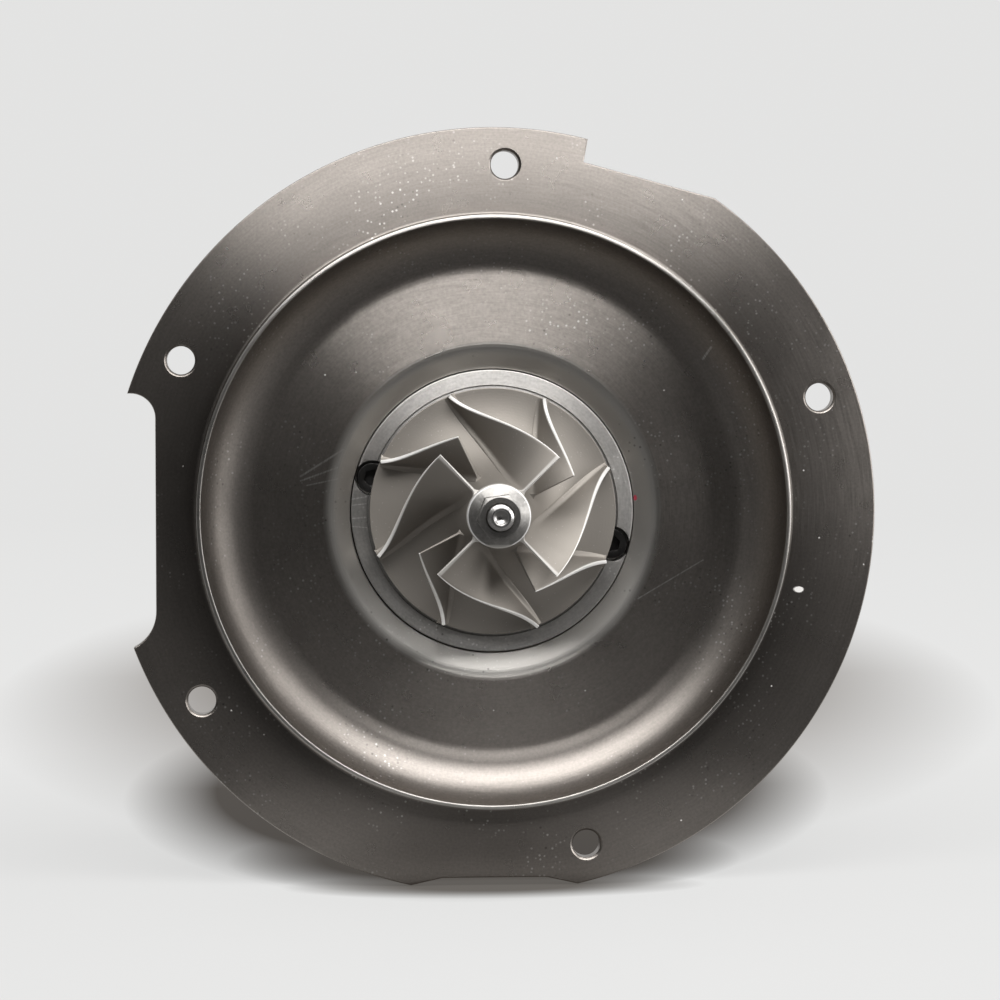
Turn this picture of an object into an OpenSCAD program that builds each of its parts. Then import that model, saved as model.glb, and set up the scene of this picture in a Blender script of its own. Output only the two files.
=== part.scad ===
// Turbocharger centre cartridge: compressor backplate, bearing housing and rotor.
// Drawn about the shaft with the compressor nose along +z, x to the right and y up,
// then stood up so that the nose looks along -Y and the oil inlet points up.

/* [Backplate] */
// Outside radius of the flange
flange_r = 75; // [73:0.5:80]
// Thickness of the flange
flange_t = 4; // [3:0.25:5]
// Distance of the cover holes from the flange's edge
cover_inset = 7.2; // [6:0.1:8]
// Radius of a cover hole
cover_hole_r = 2.75; // [2.25:0.05:3.25]
// Chamfer at the mouth of a cover hole
cover_chamfer = 0.4; // [0.2:0.1:0.8]
// Angles of the cover holes, counted from the right
cover_angles = [19.4, 88.3, 154, 212.6, 285.5]; // [0:0.1:360]
// Outside radius of the pilot rim
rim_r = 58; // [56:0.5:60]
// Height of the pilot rim over the flange
rim_h = 3; // [2:0.25:4]
// Width of the flat on the rim
rim_land = 0.8; // [0.4:0.1:1.5]
// Fillet between the rim and the flange
rim_fillet = 0.8; // [0.3:0.1:1.2]
// Depth of the dish under the rim
dish_depth = 8; // [7:0.25:9]
// Radius where the flat floor of the dish ends
floor_r = 46.5; // [45:0.5:48]
// Thickness of the dished wall
plate_t = 4; // [3:0.25:5]
// Width of the sloped lip round the centre hole
lip_w = 4; // [2:0.25:5]
// Drop of the sloped lip
lip_drop = 2.3; // [1:0.1:3]
// Rounding between the sloped lip and the floor
lip_fillet = 5; // [1:0.5:6]
// Radius of the boss that seats on the housing
boss_r = 42; // [40.5:0.5:44]
// Thickness of the boss under the floor
boss_t = 8; // [7:0.25:10]

/* [Flange outline] */
// Depth of the left flat under the round edge
left_depth = 9.1; // [6:0.1:10]
// Height of the left flat's upper end
left_top = 18.5; // [10:0.5:20]
// Depth of the left flat's lower end
left_bottom = 19; // [10:0.5:20]
// Corner radius at the left flat's upper end
left_top_r = 4.8; // [3:0.1:6]
// Corner radius at the left flat's lower end
left_bottom_r = 8; // [6:0.1:10]
// Depth of the bottom flat under the round edge
bottom_depth = 3.2; // [2.5:0.1:4]
// Half length of the bottom flat
bottom_half = 10.2; // [6:0.2:12]
// Half length of the bottom flat with its ramps
ramp_half = 16.4; // [14:0.2:18]
// Place of the step at the top, right of the shaft
step_x = 17.4; // [14:0.2:20]
// Depth of the step's foot under the round edge
step_depth = 6.7; // [5:0.1:8.5]
// Lean of the step's wall
step_lean = 0.8; // [0:0.1:2]
// Angle where the round edge starts again after the step
step_end = 54.9; // [50:0.1:58]

/* [Seal plate] */
// Outside radius of the seal plate
seal_r = 27.9; // [27.4:0.1:28.4]
// Radial gap round the seal plate
seal_gap = 0.2; // [0.1:0.05:0.4]
// Chamfer on the seal plate's front edge
seal_chamfer = 0.4; // [0.2:0.1:0.8]
// Radial gap between the wheel and the seal plate's recess
recess_gap = 0.5; // [0.3:0.05:0.8]
// Gap behind the wheel
back_gap = 0.7; // [0.4:0.05:1]
// Depth of the cavity in the back of the seal plate
cavity_d = 1.5; // [1.3:0.1:2]
// Radius of the circle that the seal plate's screws sit on
seal_screw_circle_r = 24.6; // [24.3:0.1:24.8]
// Angles of the seal plate's screws, counted from the right
seal_screw_angles = [164.5, 344.5]; // [0:0.5:360]
// Radius of a screw's pocket
pocket_r = 3.5; // [3.3:0.1:3.8]
// Depth of a screw's pocket
pocket_d = 4.6; // [4.5:0.1:5]
// Radius of a screw's head
screw_head_r = 3; // [2.7:0.1:3.1]
// Height of a screw's head
screw_head_h = 2.4; // [1.6:0.1:2.4]
// Radius of a screw's thread
screw_r = 2; // [1.5:0.1:2.2]
// Length of a screw under its head
screw_len = 10; // [7:0.5:10.5]
// Width across the flats of a screw's socket
screw_socket = 3; // [2:0.25:3.5]

/* [Compressor wheel] */
// Outside radius of the compressor wheel
wheel_r = 24.3; // [23.8:0.1:24.5]
// Radius of the wheel's nose
nose_r = 6.2; // [6:0.1:7.5]
// Radius of the blade tips at the inlet
inlet_r = 16.2; // [14:0.1:18]
// Height of the blades at the outlet
outlet_b = 3; // [2:0.1:4]
// Thickness of the disc at its edge
disc_t = 1; // [0.8:0.1:1.4]
// Drop of the disc's edge below the dish floor
exit_drop = 0.2; // [0:0.1:0.3]
// Length of the plain nose in front of the blades
nose_land = 0.8; // [0.4:0.1:2]
// Radius of the boss on the wheel's back
wheel_boss_r = 9; // [8:0.25:10]
// Height of the boss on the wheel's back
wheel_boss_h = 1.4; // [0.8:0.1:1.6]
// Number of full blades, with as many splitters between them
full_blades = 4; // [3:1:7]
// Angle of the first full blade's front edge, counted from the right
blade_start = 43.5; // [0:0.5:90]
// Angle that a full blade wraps through
blade_wrap = 67.5; // [50:0.5:75]
// Even share of the wrap, which sets the sweep at the outlet
blade_sweep = 0.25; // [0:0.05:0.5]
// How early the wrap comes
blade_lead = 2.2; // [1.5:0.1:3]
// Where the splitters start, as a share of a full blade
splitter_start = 0.25; // [0.15:0.01:0.4]
// Blade thickness at the root
root_t = 1; // [0.7:0.05:1.4]
// Blade thickness at the tip
tip_t = 0.65; // [0.3:0.05:0.9]

/* [Nut and shaft] */
// Radius of the nut's flange
nut_flange_r = 6.1; // [5.3:0.1:6.2]
// Width of the nut across its flats
nut_flats = 8; // [7:0.5:8.5]
// Height of the nut
nut_h = 5; // [4:0.25:6]
// Thickness of the nut's flange at its edge
nut_flange_t = 0.8; // [0.5:0.1:1]
// Slope height of the nut's flange
nut_cone_h = 1.2; // [0.6:0.1:1.6]
// Distance of the balance flat from the shaft
nut_balance = 5.4; // [4.8:0.1:5.8]
// Thread that shows over the nut
thread_out = 1.8; // [0.5:0.1:3]
// Radius of the shaft's thin end
stub_r = 2.5; // [2.25:0.05:2.6]
// Radius of the shaft in the bushes
journal_r = 3.5; // [3.2:0.05:3.8]
// Radius of the shaft's waist between the bushes
waist_r = 3.1; // [2.8:0.05:3.15]
// Radius of the centre hole in the shaft's end
centre_r = 1.3; // [0.8:0.05:1.6]
// Depth of the centre hole
centre_d = 2.2; // [1:0.1:3]

/* [Bearings] */
// Radius of the flinger sleeve in the seal plate
sleeve_r = 6; // [5.7:0.1:6.3]
// Radius of the flinger's disc
flinger_r = 8.6; // [8:0.1:9]
// Thickness of the flinger's disc
flinger_t = 0.8; // [0.6:0.05:0.85]
// Gap in front of the flinger's disc
flinger_gap = 0.3; // [0.25:0.05:0.35]
// Radius of the flinger's and the collar's thrust faces
collar_r = 7.4; // [6.8:0.1:7.6]
// Radius of the collar's neck inside the thrust bearing
neck_r = 4.6; // [4:0.1:5]
// Thickness of the collar's disc
collar_t = 1.7; // [1.2:0.1:2.2]
// Outside radius of the thrust bearing and of the deflector
cup_r = 14; // [13.5:0.1:14.5]
// Height of the deflector cup
cup_h = 2.2; // [1.6:0.1:2.6]
// Thickness of the deflector sheet
cup_t = 0.8; // [0.5:0.05:1]
// Thickness of the thrust bearing
thrust_t = 3.2; // [2.5:0.1:4]
// Axial play on each thrust face
thrust_play = 0.05; // [0.03:0.01:0.1]
// Radius of a thrust bearing pin
pin_r = 1; // [0.75:0.05:1.2]
// Distance of each pin from the shaft
pin_x = 11; // [10:0.25:11.25]
// Depth of a pin in the housing
pin_depth = 3; // [2:0.25:4]
// Outside radius of a bush
bush_r = 5.6; // [5.4:0.05:5.8]
// Length of a bush
bush_len = 6; // [5:0.25:8]
// Distance between the bushes, middle to middle
bush_span = 21.6; // [19:0.2:26]
// Radial running clearance inside a bush
bush_inner_play = 0.03; // [0.02:0.01:0.05]
// Radial running clearance outside a bush
bush_outer_play = 0.05; // [0.03:0.01:0.08]
// Radius of a feed hole in a bush
bush_hole_r = 0.8; // [0.5:0.05:1]
// Feed holes round each bush
bush_holes = 6; // [4:1:8]
// Axial play between a bush and its clip
bush_gap = 0.25; // [0.15:0.05:0.4]
// Thickness of a clip
clip_t = 0.9; // [0.6:0.05:1.2]
// Reach of a clip into the bearing bore
clip_reach = 0.6; // [0.4:0.05:0.8]
// Depth of a clip's groove
clip_groove = 0.6; // [0.4:0.05:0.8]
// Opening of a clip
clip_opening = 5; // [3:0.25:6]

/* [Bearing housing] */
// Thickness of the housing's front flange
front_flange_t = 7; // [6:0.25:9]
// Radius of the housing's body
body_r = 24; // [23:0.5:26]
// Cast fillet between the body and the front flange
neck_fillet = 5; // [3:0.25:5]
// Cast fillet between the body and the turbine-side flange
rear_fillet = 1; // [0.5:0.1:1.4]
// Depth of the cavity behind the bushes
rear_cavity_l = 3; // [2:0.25:4]
// Radius of the oil cavities at both ends
slinger_cavity_r = 9.5; // [9.2:0.1:10]
// Length of the turbine-side seal bore
seal_bore_l = 6; // [5:0.25:8]
// Radius of the shaft's seal hub
hub_r = 7; // [6.5:0.1:7.5]
// Radius of the housing's nose
housing_nose_r = 14; // [13:0.25:16]
// Radius of the turbine-side flange
rear_flange_r = 33; // [31.5:0.5:36]
// Thickness of the turbine-side flange
rear_flange_t = 4; // [3:0.25:6]
// Bevel height of the turbine-side flange
rear_bevel = 2.5; // [1:0.25:3.5]
// Radius of the turbine-side pilot
pilot_r = 30; // [29:0.25:31]
// Height of the turbine-side pilot
pilot_h = 2.5; // [1.5:0.25:3.5]
// Wall of the turbine-side pilot
pilot_wall = 2; // [1.5:0.1:2.5]
// Inner radius of the drain cavity
tube_r = 10; // [9.8:0.1:11]
// Outer radius of the drain cavity
drain_cavity_r = 19; // [17:0.25:20]
// Half width of the slots into the drain cavity
slot_half = 6; // [4:0.25:7]
// Height of the oil inlet's face over the shaft
inlet_h = 36; // [33:0.5:42]
// Radius of the oil inlet's boss
inlet_boss_r = 9.5; // [8:0.25:11]
// Chamfer round the oil inlet's face
inlet_chamfer = 0.8; // [0.3:0.1:1.2]
// Radius of the oil inlet's tapped hole
inlet_r_hole = 4.5; // [4:0.1:5.5]
// Depth of the oil inlet's tapped hole
inlet_d = 12; // [9:0.5:13]
// Radius of the oil feed drillings
feed_r = 1.5; // [1:0.1:1.8]
// Distance of the drain's face from the shaft
drain_h = 36; // [34:0.5:44]
// Radius of the drain's neck
drain_neck_r = 10.5; // [9:0.25:11]
// Radius of the drain
drain_r = 7; // [6:0.25:8]
// Thickness of the drain's pad
pad_t = 9; // [7:0.25:11]
// Distance of each drain screw from the middle
pad_hole_x = 18; // [17:0.25:22]
// Radius of a drain screw's hole
pad_hole_r = 2.5; // [2:0.05:3]
// Radius of the pad's ends
pad_end_r = 7; // [5.5:0.25:9]

/* [Fasteners and seals] */
// Number of backplate bolts
bolts = 4; // [3:1:6]
// Angle of the first backplate bolt
bolt_angle = 45; // [40:1:50]
// Radius of the circle that the backplate bolts sit on
bolt_circle_r = 36.4; // [36.2:0.1:36.8]
// Radius of a bolt's thread
bolt_r = 2.5; // [2:0.1:2.7]
// Length of a bolt in the backplate
bolt_grip = 5; // [4:0.25:5.5]
// Radius of a bolt's flange
bolt_flange_r = 5.3; // [4.8:0.1:5.6]
// Thickness of a bolt's flange
bolt_flange_t = 1.2; // [0.8:0.1:1.6]
// Width of a bolt's head across its flats
bolt_flats = 8; // [7:0.5:8.5]
// Height of a bolt's head
bolt_head_h = 5; // [4:0.25:6]
// Radius of the locating dowel
dowel_r = 2; // [1.5:0.1:2.5]
// Depth of the dowel in each piece
dowel_depth = 4; // [3:0.25:5]
// Radius of an O-ring's cord
cord_r = 0.9; // [0.7:0.05:1]
// Radius of the backplate's O-ring
face_ring_r = 32.2; // [32:0.1:32.4]
// Axial width of a split seal ring
ring_w = 1; // [0.8:0.05:1.2]
// Radial thickness of a split seal ring
ring_t = 1.2; // [1:0.05:1.4]
// Opening of a split seal ring
ring_opening = 0.6; // [0.3:0.05:1]

/* [Turbine] */
// Outside radius of the turbine blades
turbine_r = 22; // [21:0.25:23.5]
// Radius of the turbine's disc
turbine_disc_r = 19; // [17.5:0.25:20]
// Thickness of the turbine's disc at its edge
turbine_disc_t = 1.5; // [1.2:0.1:2]
// Radius of the turbine's hub at the outlet
turbine_hub_r = 5.8; // [5:0.1:6.5]
// Radius of the blade tips at the outlet
turbine_exit_r = 18.2; // [17:0.1:19]
// Height of the blades at the inlet
turbine_inlet_b = 6.5; // [5:0.25:8]
// Number of turbine blades
turbine_blades = 11; // [8:1:12]
// Angle that a turbine blade wraps through
turbine_wrap = 46; // [30:1:55]
// How late the turbine's wrap comes
turbine_lead = 2.4; // [1.8:0.1:3]
// Turbine blade thickness at the root
turbine_root_t = 1.3; // [0.9:0.05:1.6]
// Turbine blade thickness at the tip
turbine_tip_t = 0.7; // [0.5:0.05:0.9]
// Width of the turbine's hexagon end across its flats
turbine_hex = 8; // [6:0.25:9]
// Length of the turbine's hexagon end
turbine_hex_l = 4; // [2:0.25:6]
// Thickness of the heat shield's sheet
shield_t = 0.8; // [0.5:0.05:1]
// Outside radius of the heat shield's cup
shield_cup_r = 24.5; // [23.5:0.25:25.5]
// Outside radius of the heat shield's bends
shield_bend = 1.6; // [1.2:0.1:2]
// Gap between the shield and the housing's nose
shield_gap = 0.4; // [0.3:0.05:0.8]
// Gap between the shield and the turbine
shield_clear = 0.8; // [0.5:0.05:1.2]

/* [Fits] */
// Radial clearance of a rotor piece on the shaft
push_fit = 0.02; // [0.01:0.005:0.03]
// Radial clearance of a turning seal face
seal_play = 0.06; // [0.03:0.01:0.1]
// Radial clearance of a thread in its tapped hole
thread_play = 0.05; // [0.03:0.01:0.1]
// Radial clearance of a bolt in its plain hole
bolt_play = 0.25; // [0.15:0.05:0.4]
// Radial clearance of a pin in its hole
pin_play = 0.02; // [0.01:0.01:0.05]
// Clearance of a ring or clip in its groove
groove_play = 0.1; // [0.05:0.01:0.12]
// Clearance of a sheet or bearing in its seat
seat_play = 0.05; // [0.03:0.01:0.1]

/* [Hidden] */
$fn = 96;
// Overrun of a cut past the face it opens
over = 1;
// Reach of a cut that clears everything on its side
clear_of_all = 2 * flange_r;
// The flange outline, measured from its round edge
cover_circle_r = flange_r - cover_inset;
left_flat = flange_r - left_depth;
bottom_flat = flange_r - bottom_depth;
step_y = flange_r - step_depth;

// Levels along the shaft, from the flange's front face at 0
floor_z = rim_h - dish_depth;
seat_z = floor_z - boss_t;
wall_w = rim_r - rim_land - floor_r;
wall_r = (wall_w * wall_w + dish_depth * dish_depth) / (2 * dish_depth);
plate_bore_r = seal_r + seal_gap;
exit_z = floor_z - exit_drop;
disc_z = exit_z - disc_t;
wheel_z = disc_z - wheel_boss_h;
hub_arc = wheel_r - nose_r;
hub_top_z = exit_z + hub_arc;
nose_z = hub_top_z + nose_land;
shaft_end_z = nose_z + nut_h + thread_out;
recess_r = wheel_r + recess_gap;
recess_z = disc_z - back_gap;
boss_recess_z = wheel_z - back_gap;
boss_recess_r = wheel_boss_r + recess_gap;
cavity_z = seat_z + cavity_d;
seal_bore_r = sleeve_r + seal_play;
flinger_z = cavity_z - flinger_gap;
thrust_z = seat_z - cup_h;
thrust_back_z = thrust_z - thrust_t;
collar_z = thrust_back_z - thrust_play - collar_t;
bore_z = collar_z - back_gap;
bush_bore_r = bush_r + bush_outer_play;
groove_r = bush_bore_r + clip_groove;
groove_w = clip_t + 2 * groove_play;
clip_land = 0.6;
front_clip_z = bore_z - clip_land - groove_play;
front_bush_z = front_clip_z - clip_t - bush_gap;
rear_bush_z = front_bush_z - bush_span;
clip_tops = [
    front_clip_z, front_bush_z - bush_len - bush_gap,
    rear_bush_z + bush_gap + clip_t, rear_bush_z - bush_len - bush_gap
];
bore_back_z = clip_tops[3] - clip_t - groove_play - clip_land;
rear_face_z = bore_back_z - rear_cavity_l;
housing_end_z = rear_face_z - seal_bore_l;
hub_bore_r = hub_r + seal_play;
shield_z = housing_end_z - shield_gap;
turbine_z = shield_z - shield_t - shield_clear;
turbine_arc = turbine_disc_r - turbine_hub_r;
turbine_exit_z = turbine_z - turbine_disc_t - turbine_arc;
flange_back_z = seat_z - front_flange_t;
bevel_z = rear_face_z + rear_flange_t + rear_bevel;
feed_z = front_bush_z - bush_len / 2 - bush_span / 2;
feed_y = inlet_h - inlet_d;
feed_split_y = bush_bore_r + bush_span / 2;
drain_cavity_l = bush_span - bush_len / 2;
ring_groove_w = ring_w + 2 * groove_play;
seal_ring_z = (boss_recess_z + cavity_z) / 2;
hub_ring_z = rear_face_z - seal_bore_l / 2;
bore_ring_z = seat_z + 2 * cord_r;
ring_seat = 0.05;
cup_seat_r = cup_r + seat_play;
shield_rim_r = pilot_r - pilot_wall - seat_play;
screw_seat_z = floor_z - pocket_d;
hex_corner = 1 / cos(30);
// Depth that a blade's root reaches into its hub
root_sink = 0.4;
// Blade strips along the flow and across the span
strips = 12;
spans = 4;
// Share of a blade over which its front edge thins, and what is left of the thickness there
edge_share = 0.12;
edge_left = 0.5;

module stand() {
    rotate([90, 0, 0]) children();
}

module drum(r, top, bottom) {
    translate([0, 0, bottom]) cylinder(r = r, h = top - bottom);
}

module hexagon(flats, top, bottom) {
    translate([0, 0, bottom]) cylinder(r = flats / 2 * hex_corner, h = top - bottom, $fn = 6);
}

module around(angles, r) {
    for (a = angles) rotate(a) translate([r, 0, 0]) children();
}

module torus(r, z, cord) {
    rotate_extrude() translate([r, z]) circle(cord);
}

module drill(from, to, r) {
    run = to - from;
    length = norm(run);
    translate(from)
        rotate([0, acos(run[2] / length), atan2(run[1], run[0])])
            cylinder(r = r, h = length);
}

bolt_angles = [for (i = [0 : bolts - 1]) bolt_angle + i * 360 / bolts];

// Blades: a camber surface between two meridional arcs, thickened along its normal.
// An arc is [centre r, centre z, radial half axis, axial half axis], from the axial end to the radial end.
function mix(a, b, t) = a + (b - a) * t;

function arc_point(arc, s) = [arc[0] - arc[2] * cos(90 * s), arc[1] - arc[3] * sin(90 * s)];

function wrap_angle(wrap, s) =
    wrap[0] * (wrap[1] * s + (1 - wrap[1]) * (1 - pow(max(0, 1 - s), wrap[2])));

function camber(root, tip, wrap, s, f) =
    let (m = mix(arc_point(root, s), arc_point(tip, s), f), a = wrap_angle(wrap, s))
    [m[0] * cos(a), m[0] * sin(a), m[1]];

function camber_normal(root, tip, wrap, s, f) =
    let (
        e = 0.001,
        low = min(s, 1 - e),
        along = camber(root, tip, wrap, low + e, f) - camber(root, tip, wrap, low, f),
        across = camber(root, tip, wrap, s, f + e) - camber(root, tip, wrap, s, f),
        n = cross(along, across)
    )
    n / norm(n);

function edge_factor(run) = mix(edge_left, 1, min(1, run / edge_share));

function quad(a, b, c, d) = [[a, b, c], [a, c, d]];

module blade(root, tip, wrap, start, thick) {
    row = spans + 1;
    sheet = (strips + 1) * row;
    points = [
        for (side = [1, -1], i = [0 : strips], j = [0 : spans])
            let (
                s = mix(start, 1, i / strips),
                f = j / spans,
                half = mix(thick[0], thick[1], f) / 2 * edge_factor(i / strips)
            )
            camber(root, tip, wrap, s, f) + side * half * camber_normal(root, tip, wrap, s, f)
    ];
    faces = [
        for (i = [0 : strips - 1], j = [0 : spans - 1])
            let (p = i * row + j, q = sheet + p)
            each concat(quad(p, p + 1, p + row + 1, p + row), quad(q, q + row, q + row + 1, q + 1)),
        for (i = [0 : strips - 1])
            let (p = i * row, q = p + spans)
            each concat(
                quad(p, p + row, sheet + p + row, sheet + p),
                quad(q + row, q, sheet + q, sheet + q + row)
            ),
        for (j = [0 : spans - 1])
            let (p = j, q = strips * row + j)
            each concat(
                quad(p + 1, p, sheet + p, sheet + p + 1),
                quad(q, q + 1, sheet + q + 1, sheet + q)
            )
    ];
    polyhedron(points, faces);
}

// The flange seen from the front, with its three cut-aways
module flange_outline() {
    difference() {
        circle(flange_r);
        left_cut();
        polygon([
            [-ramp_half, -clear_of_all],
            [-ramp_half, -sqrt(flange_r * flange_r - ramp_half * ramp_half)],
            [-bottom_half, -bottom_flat],
            [bottom_half, -bottom_flat],
            [ramp_half, -sqrt(flange_r * flange_r - ramp_half * ramp_half)],
            [ramp_half, -clear_of_all]
        ]);
        polygon([
            [step_x + step_lean, flange_r + over],
            [step_x, step_y],
            flange_r * [cos(step_end), sin(step_end)],
            [flange_r, flange_r + over]
        ]);
    }
}

module left_cut() {
    height = left_top + left_bottom;
    translate([-clear_of_all, -left_bottom]) square([clear_of_all - left_flat, height]);
    translate([-left_flat - left_top_r, left_top]) circle(left_top_r);
    translate([-clear_of_all, left_top]) square([clear_of_all - left_flat - left_top_r, left_top_r]);
    translate([-left_flat - left_bottom_r, -left_bottom]) circle(left_bottom_r);
    translate([-clear_of_all, -left_bottom - left_bottom_r])
        square([clear_of_all - left_flat - left_bottom_r, left_bottom_r]);
}

// Slope round the centre hole, rounded into the floor
module lip_cut() {
    slope = atan(lip_drop / lip_w);
    run = lip_fillet * tan(slope / 2);
    corner = [plate_bore_r + lip_w, floor_z];
    polygon([[plate_bore_r, floor_z], [plate_bore_r, floor_z - lip_drop], corner]);
    difference() {
        polygon([corner, corner + [run, 0], corner - run * [cos(slope), sin(slope)]]);
        translate(corner + [run, -lip_fillet]) circle(lip_fillet);
    }
}

// Half section of the backplate
module backplate_section() {
    difference() {
        union() {
            translate([0, -flange_t]) square([flange_r, flange_t]);
            translate([0, floor_z - plate_t]) square([rim_r, rim_h - floor_z + plate_t]);
            translate([0, seat_z]) square([boss_r, boss_t]);
            difference() {
                translate([rim_r, 0]) square(rim_fillet);
                translate([rim_r + rim_fillet, rim_fillet]) circle(rim_fillet);
            }
        }
        translate([-over, seat_z - over]) square([plate_bore_r + over, boss_t + dish_depth + 2 * over]);
        translate([0, floor_z]) square([floor_r, dish_depth + over]);
        translate([floor_r, floor_z + wall_r]) circle(wall_r);
        lip_cut();
        difference() {
            translate([floor_r, floor_z - plate_t - over])
                square([clear_of_all, plate_t + over - floor_z - flange_t]);
            translate([floor_r, floor_z + wall_r]) circle(wall_r + plate_t);
        }
    }
}

module compressor_backplate() {
    color("#5b5551") stand() difference() {
        intersection() {
            rotate_extrude() backplate_section();
            translate([0, 0, seat_z]) linear_extrude(rim_h - seat_z) flange_outline();
        }
        around(cover_angles, cover_circle_r) {
            drum(cover_hole_r, over, -flange_t - over);
            translate([0, 0, -cover_chamfer])
                cylinder(r1 = cover_hole_r, r2 = cover_hole_r + cover_chamfer + over, h = cover_chamfer + over);
        }
        around(bolt_angles, bolt_circle_r)
            drum(bolt_r + thread_play, seat_z + bolt_grip + over / 2, seat_z - over);
        translate([0, bolt_circle_r, 0]) drum(dowel_r + pin_play, seat_z + dowel_depth, seat_z - over);
        rotate_extrude() {
            translate([seal_r, bore_ring_z - cord_r - ring_seat])
                square([2 * (cord_r + ring_seat), 2 * (cord_r + ring_seat)]);
            translate([face_ring_r - cord_r - ring_seat, seat_z - over])
                square([2 * (cord_r + ring_seat), 2 * (cord_r + ring_seat) + over]);
        }
    }
}

module seal_plate() {
    color("#b4b2ae") stand() difference() {
        union() {
            drum(seal_r, floor_z - seal_chamfer, seat_z);
            translate([0, 0, floor_z - seal_chamfer])
                cylinder(r1 = seal_r, r2 = seal_r - seal_chamfer, h = seal_chamfer);
        }
        drum(recess_r, floor_z + over, recess_z);
        drum(boss_recess_r, floor_z, boss_recess_z);
        drum(seal_bore_r, floor_z, seat_z - over);
        drum(slinger_cavity_r, cavity_z, seat_z - over);
        around(seal_screw_angles, seal_screw_circle_r) {
            drum(pocket_r, floor_z + over, screw_seat_z);
            drum(screw_r + bolt_play, floor_z, seat_z - over);
        }
    }
}

module seal_plate_screws() {
    color("#3c3b3a") stand() around(seal_screw_angles, seal_screw_circle_r) difference() {
        union() {
            drum(screw_head_r, screw_seat_z + screw_head_h, screw_seat_z);
            drum(screw_r, screw_seat_z, screw_seat_z - screw_len);
        }
        hexagon(screw_socket, screw_seat_z + screw_head_h + over, screw_seat_z + screw_head_h / 2);
    }
}

module seal_plate_oring() {
    color("#1b1b1b") stand() torus(seal_r + ring_seat + cord_r, bore_ring_z, cord_r);
}

module backplate_oring() {
    color("#1b1b1b") stand() torus(face_ring_r, seat_z + cord_r + ring_seat / 2, cord_r);
}

module drain_pad_outline() {
    square([2 * pad_hole_x, 2 * pad_end_r], center = true);
    circle(drain_neck_r);
    for (side = [-1, 1]) translate([side * pad_hole_x, 0]) circle(pad_end_r);
}

// Hollow fillet round the body, on one side of a flange's face
module cast_fillet(r, z, side) {
    rotate_extrude() difference() {
        translate([body_r, min(z, z + side * r)]) square(r);
        translate([body_r + r, z + side * r]) circle(r);
    }
}

module housing_body() {
    drum(boss_r, seat_z, flange_back_z);
    drum(body_r, flange_back_z, rear_face_z);
    cast_fillet(neck_fillet, flange_back_z, -1);
    cast_fillet(rear_fillet, bevel_z, 1);
    drum(rear_flange_r, rear_face_z + rear_flange_t, rear_face_z);
    translate([0, 0, rear_face_z + rear_flange_t])
        cylinder(r1 = rear_flange_r, r2 = rear_flange_r - rear_bevel, h = rear_bevel);
    difference() {
        drum(pilot_r, rear_face_z, rear_face_z - pilot_h);
        drum(pilot_r - pilot_wall, rear_face_z, rear_face_z - pilot_h - over);
    }
    drum(housing_nose_r, rear_face_z, housing_end_z);
    translate([0, 0, feed_z]) {
        rotate([-90, 0, 0]) {
            cylinder(r = inlet_boss_r, h = inlet_h - inlet_chamfer);
            translate([0, 0, inlet_h - inlet_chamfer])
                cylinder(r1 = inlet_boss_r, r2 = inlet_boss_r - inlet_chamfer, h = inlet_chamfer);
        }
        rotate([90, 0, 0]) cylinder(r = drain_neck_r, h = drain_h);
        translate([0, -drain_h, 0]) rotate([-90, 0, 0]) linear_extrude(pad_t) drain_pad_outline();
    }
}

// Oil spaces: both slinger cavities, the drain cavity under the bearing tube and the slots between them
module oil_spaces() {
    intersection() {
        difference() {
            drum(drain_cavity_r, feed_z + drain_cavity_l / 2, feed_z - drain_cavity_l / 2);
            drum(tube_r, feed_z + drain_cavity_l, feed_z - drain_cavity_l);
        }
        translate([-clear_of_all / 2, -clear_of_all, feed_z - drain_cavity_l])
            cube([clear_of_all, clear_of_all, 2 * drain_cavity_l]);
    }
    translate([-slot_half, -cup_r - cup_t, feed_z])
        cube([2 * slot_half, cup_r + cup_t - tube_r + cup_t, thrust_z - feed_z]);
    translate([-slot_half, -cup_r - cup_t, rear_face_z + over])
        cube([2 * slot_half, cup_r + cup_t - slinger_cavity_r + over, feed_z - rear_face_z - over]);
    drum(slinger_cavity_r, bore_back_z, rear_face_z + over / 2);
    translate([0, 0, feed_z]) rotate([90, 0, 0]) translate([0, 0, tube_r + over])
        cylinder(r = drain_r, h = drain_h - tube_r);
}

module oil_feeds() {
    translate([0, feed_y, feed_z]) rotate([-90, 0, 0]) cylinder(r = inlet_r_hole, h = inlet_d + over);
    drill([0, feed_y + over, feed_z], [0, feed_split_y - feed_r, feed_z], feed_r);
    for (side = [-1, 1])
        drill([0, feed_split_y, feed_z], [0, bush_r - clip_groove, feed_z + side * bush_span / 2], feed_r);
}

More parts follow.
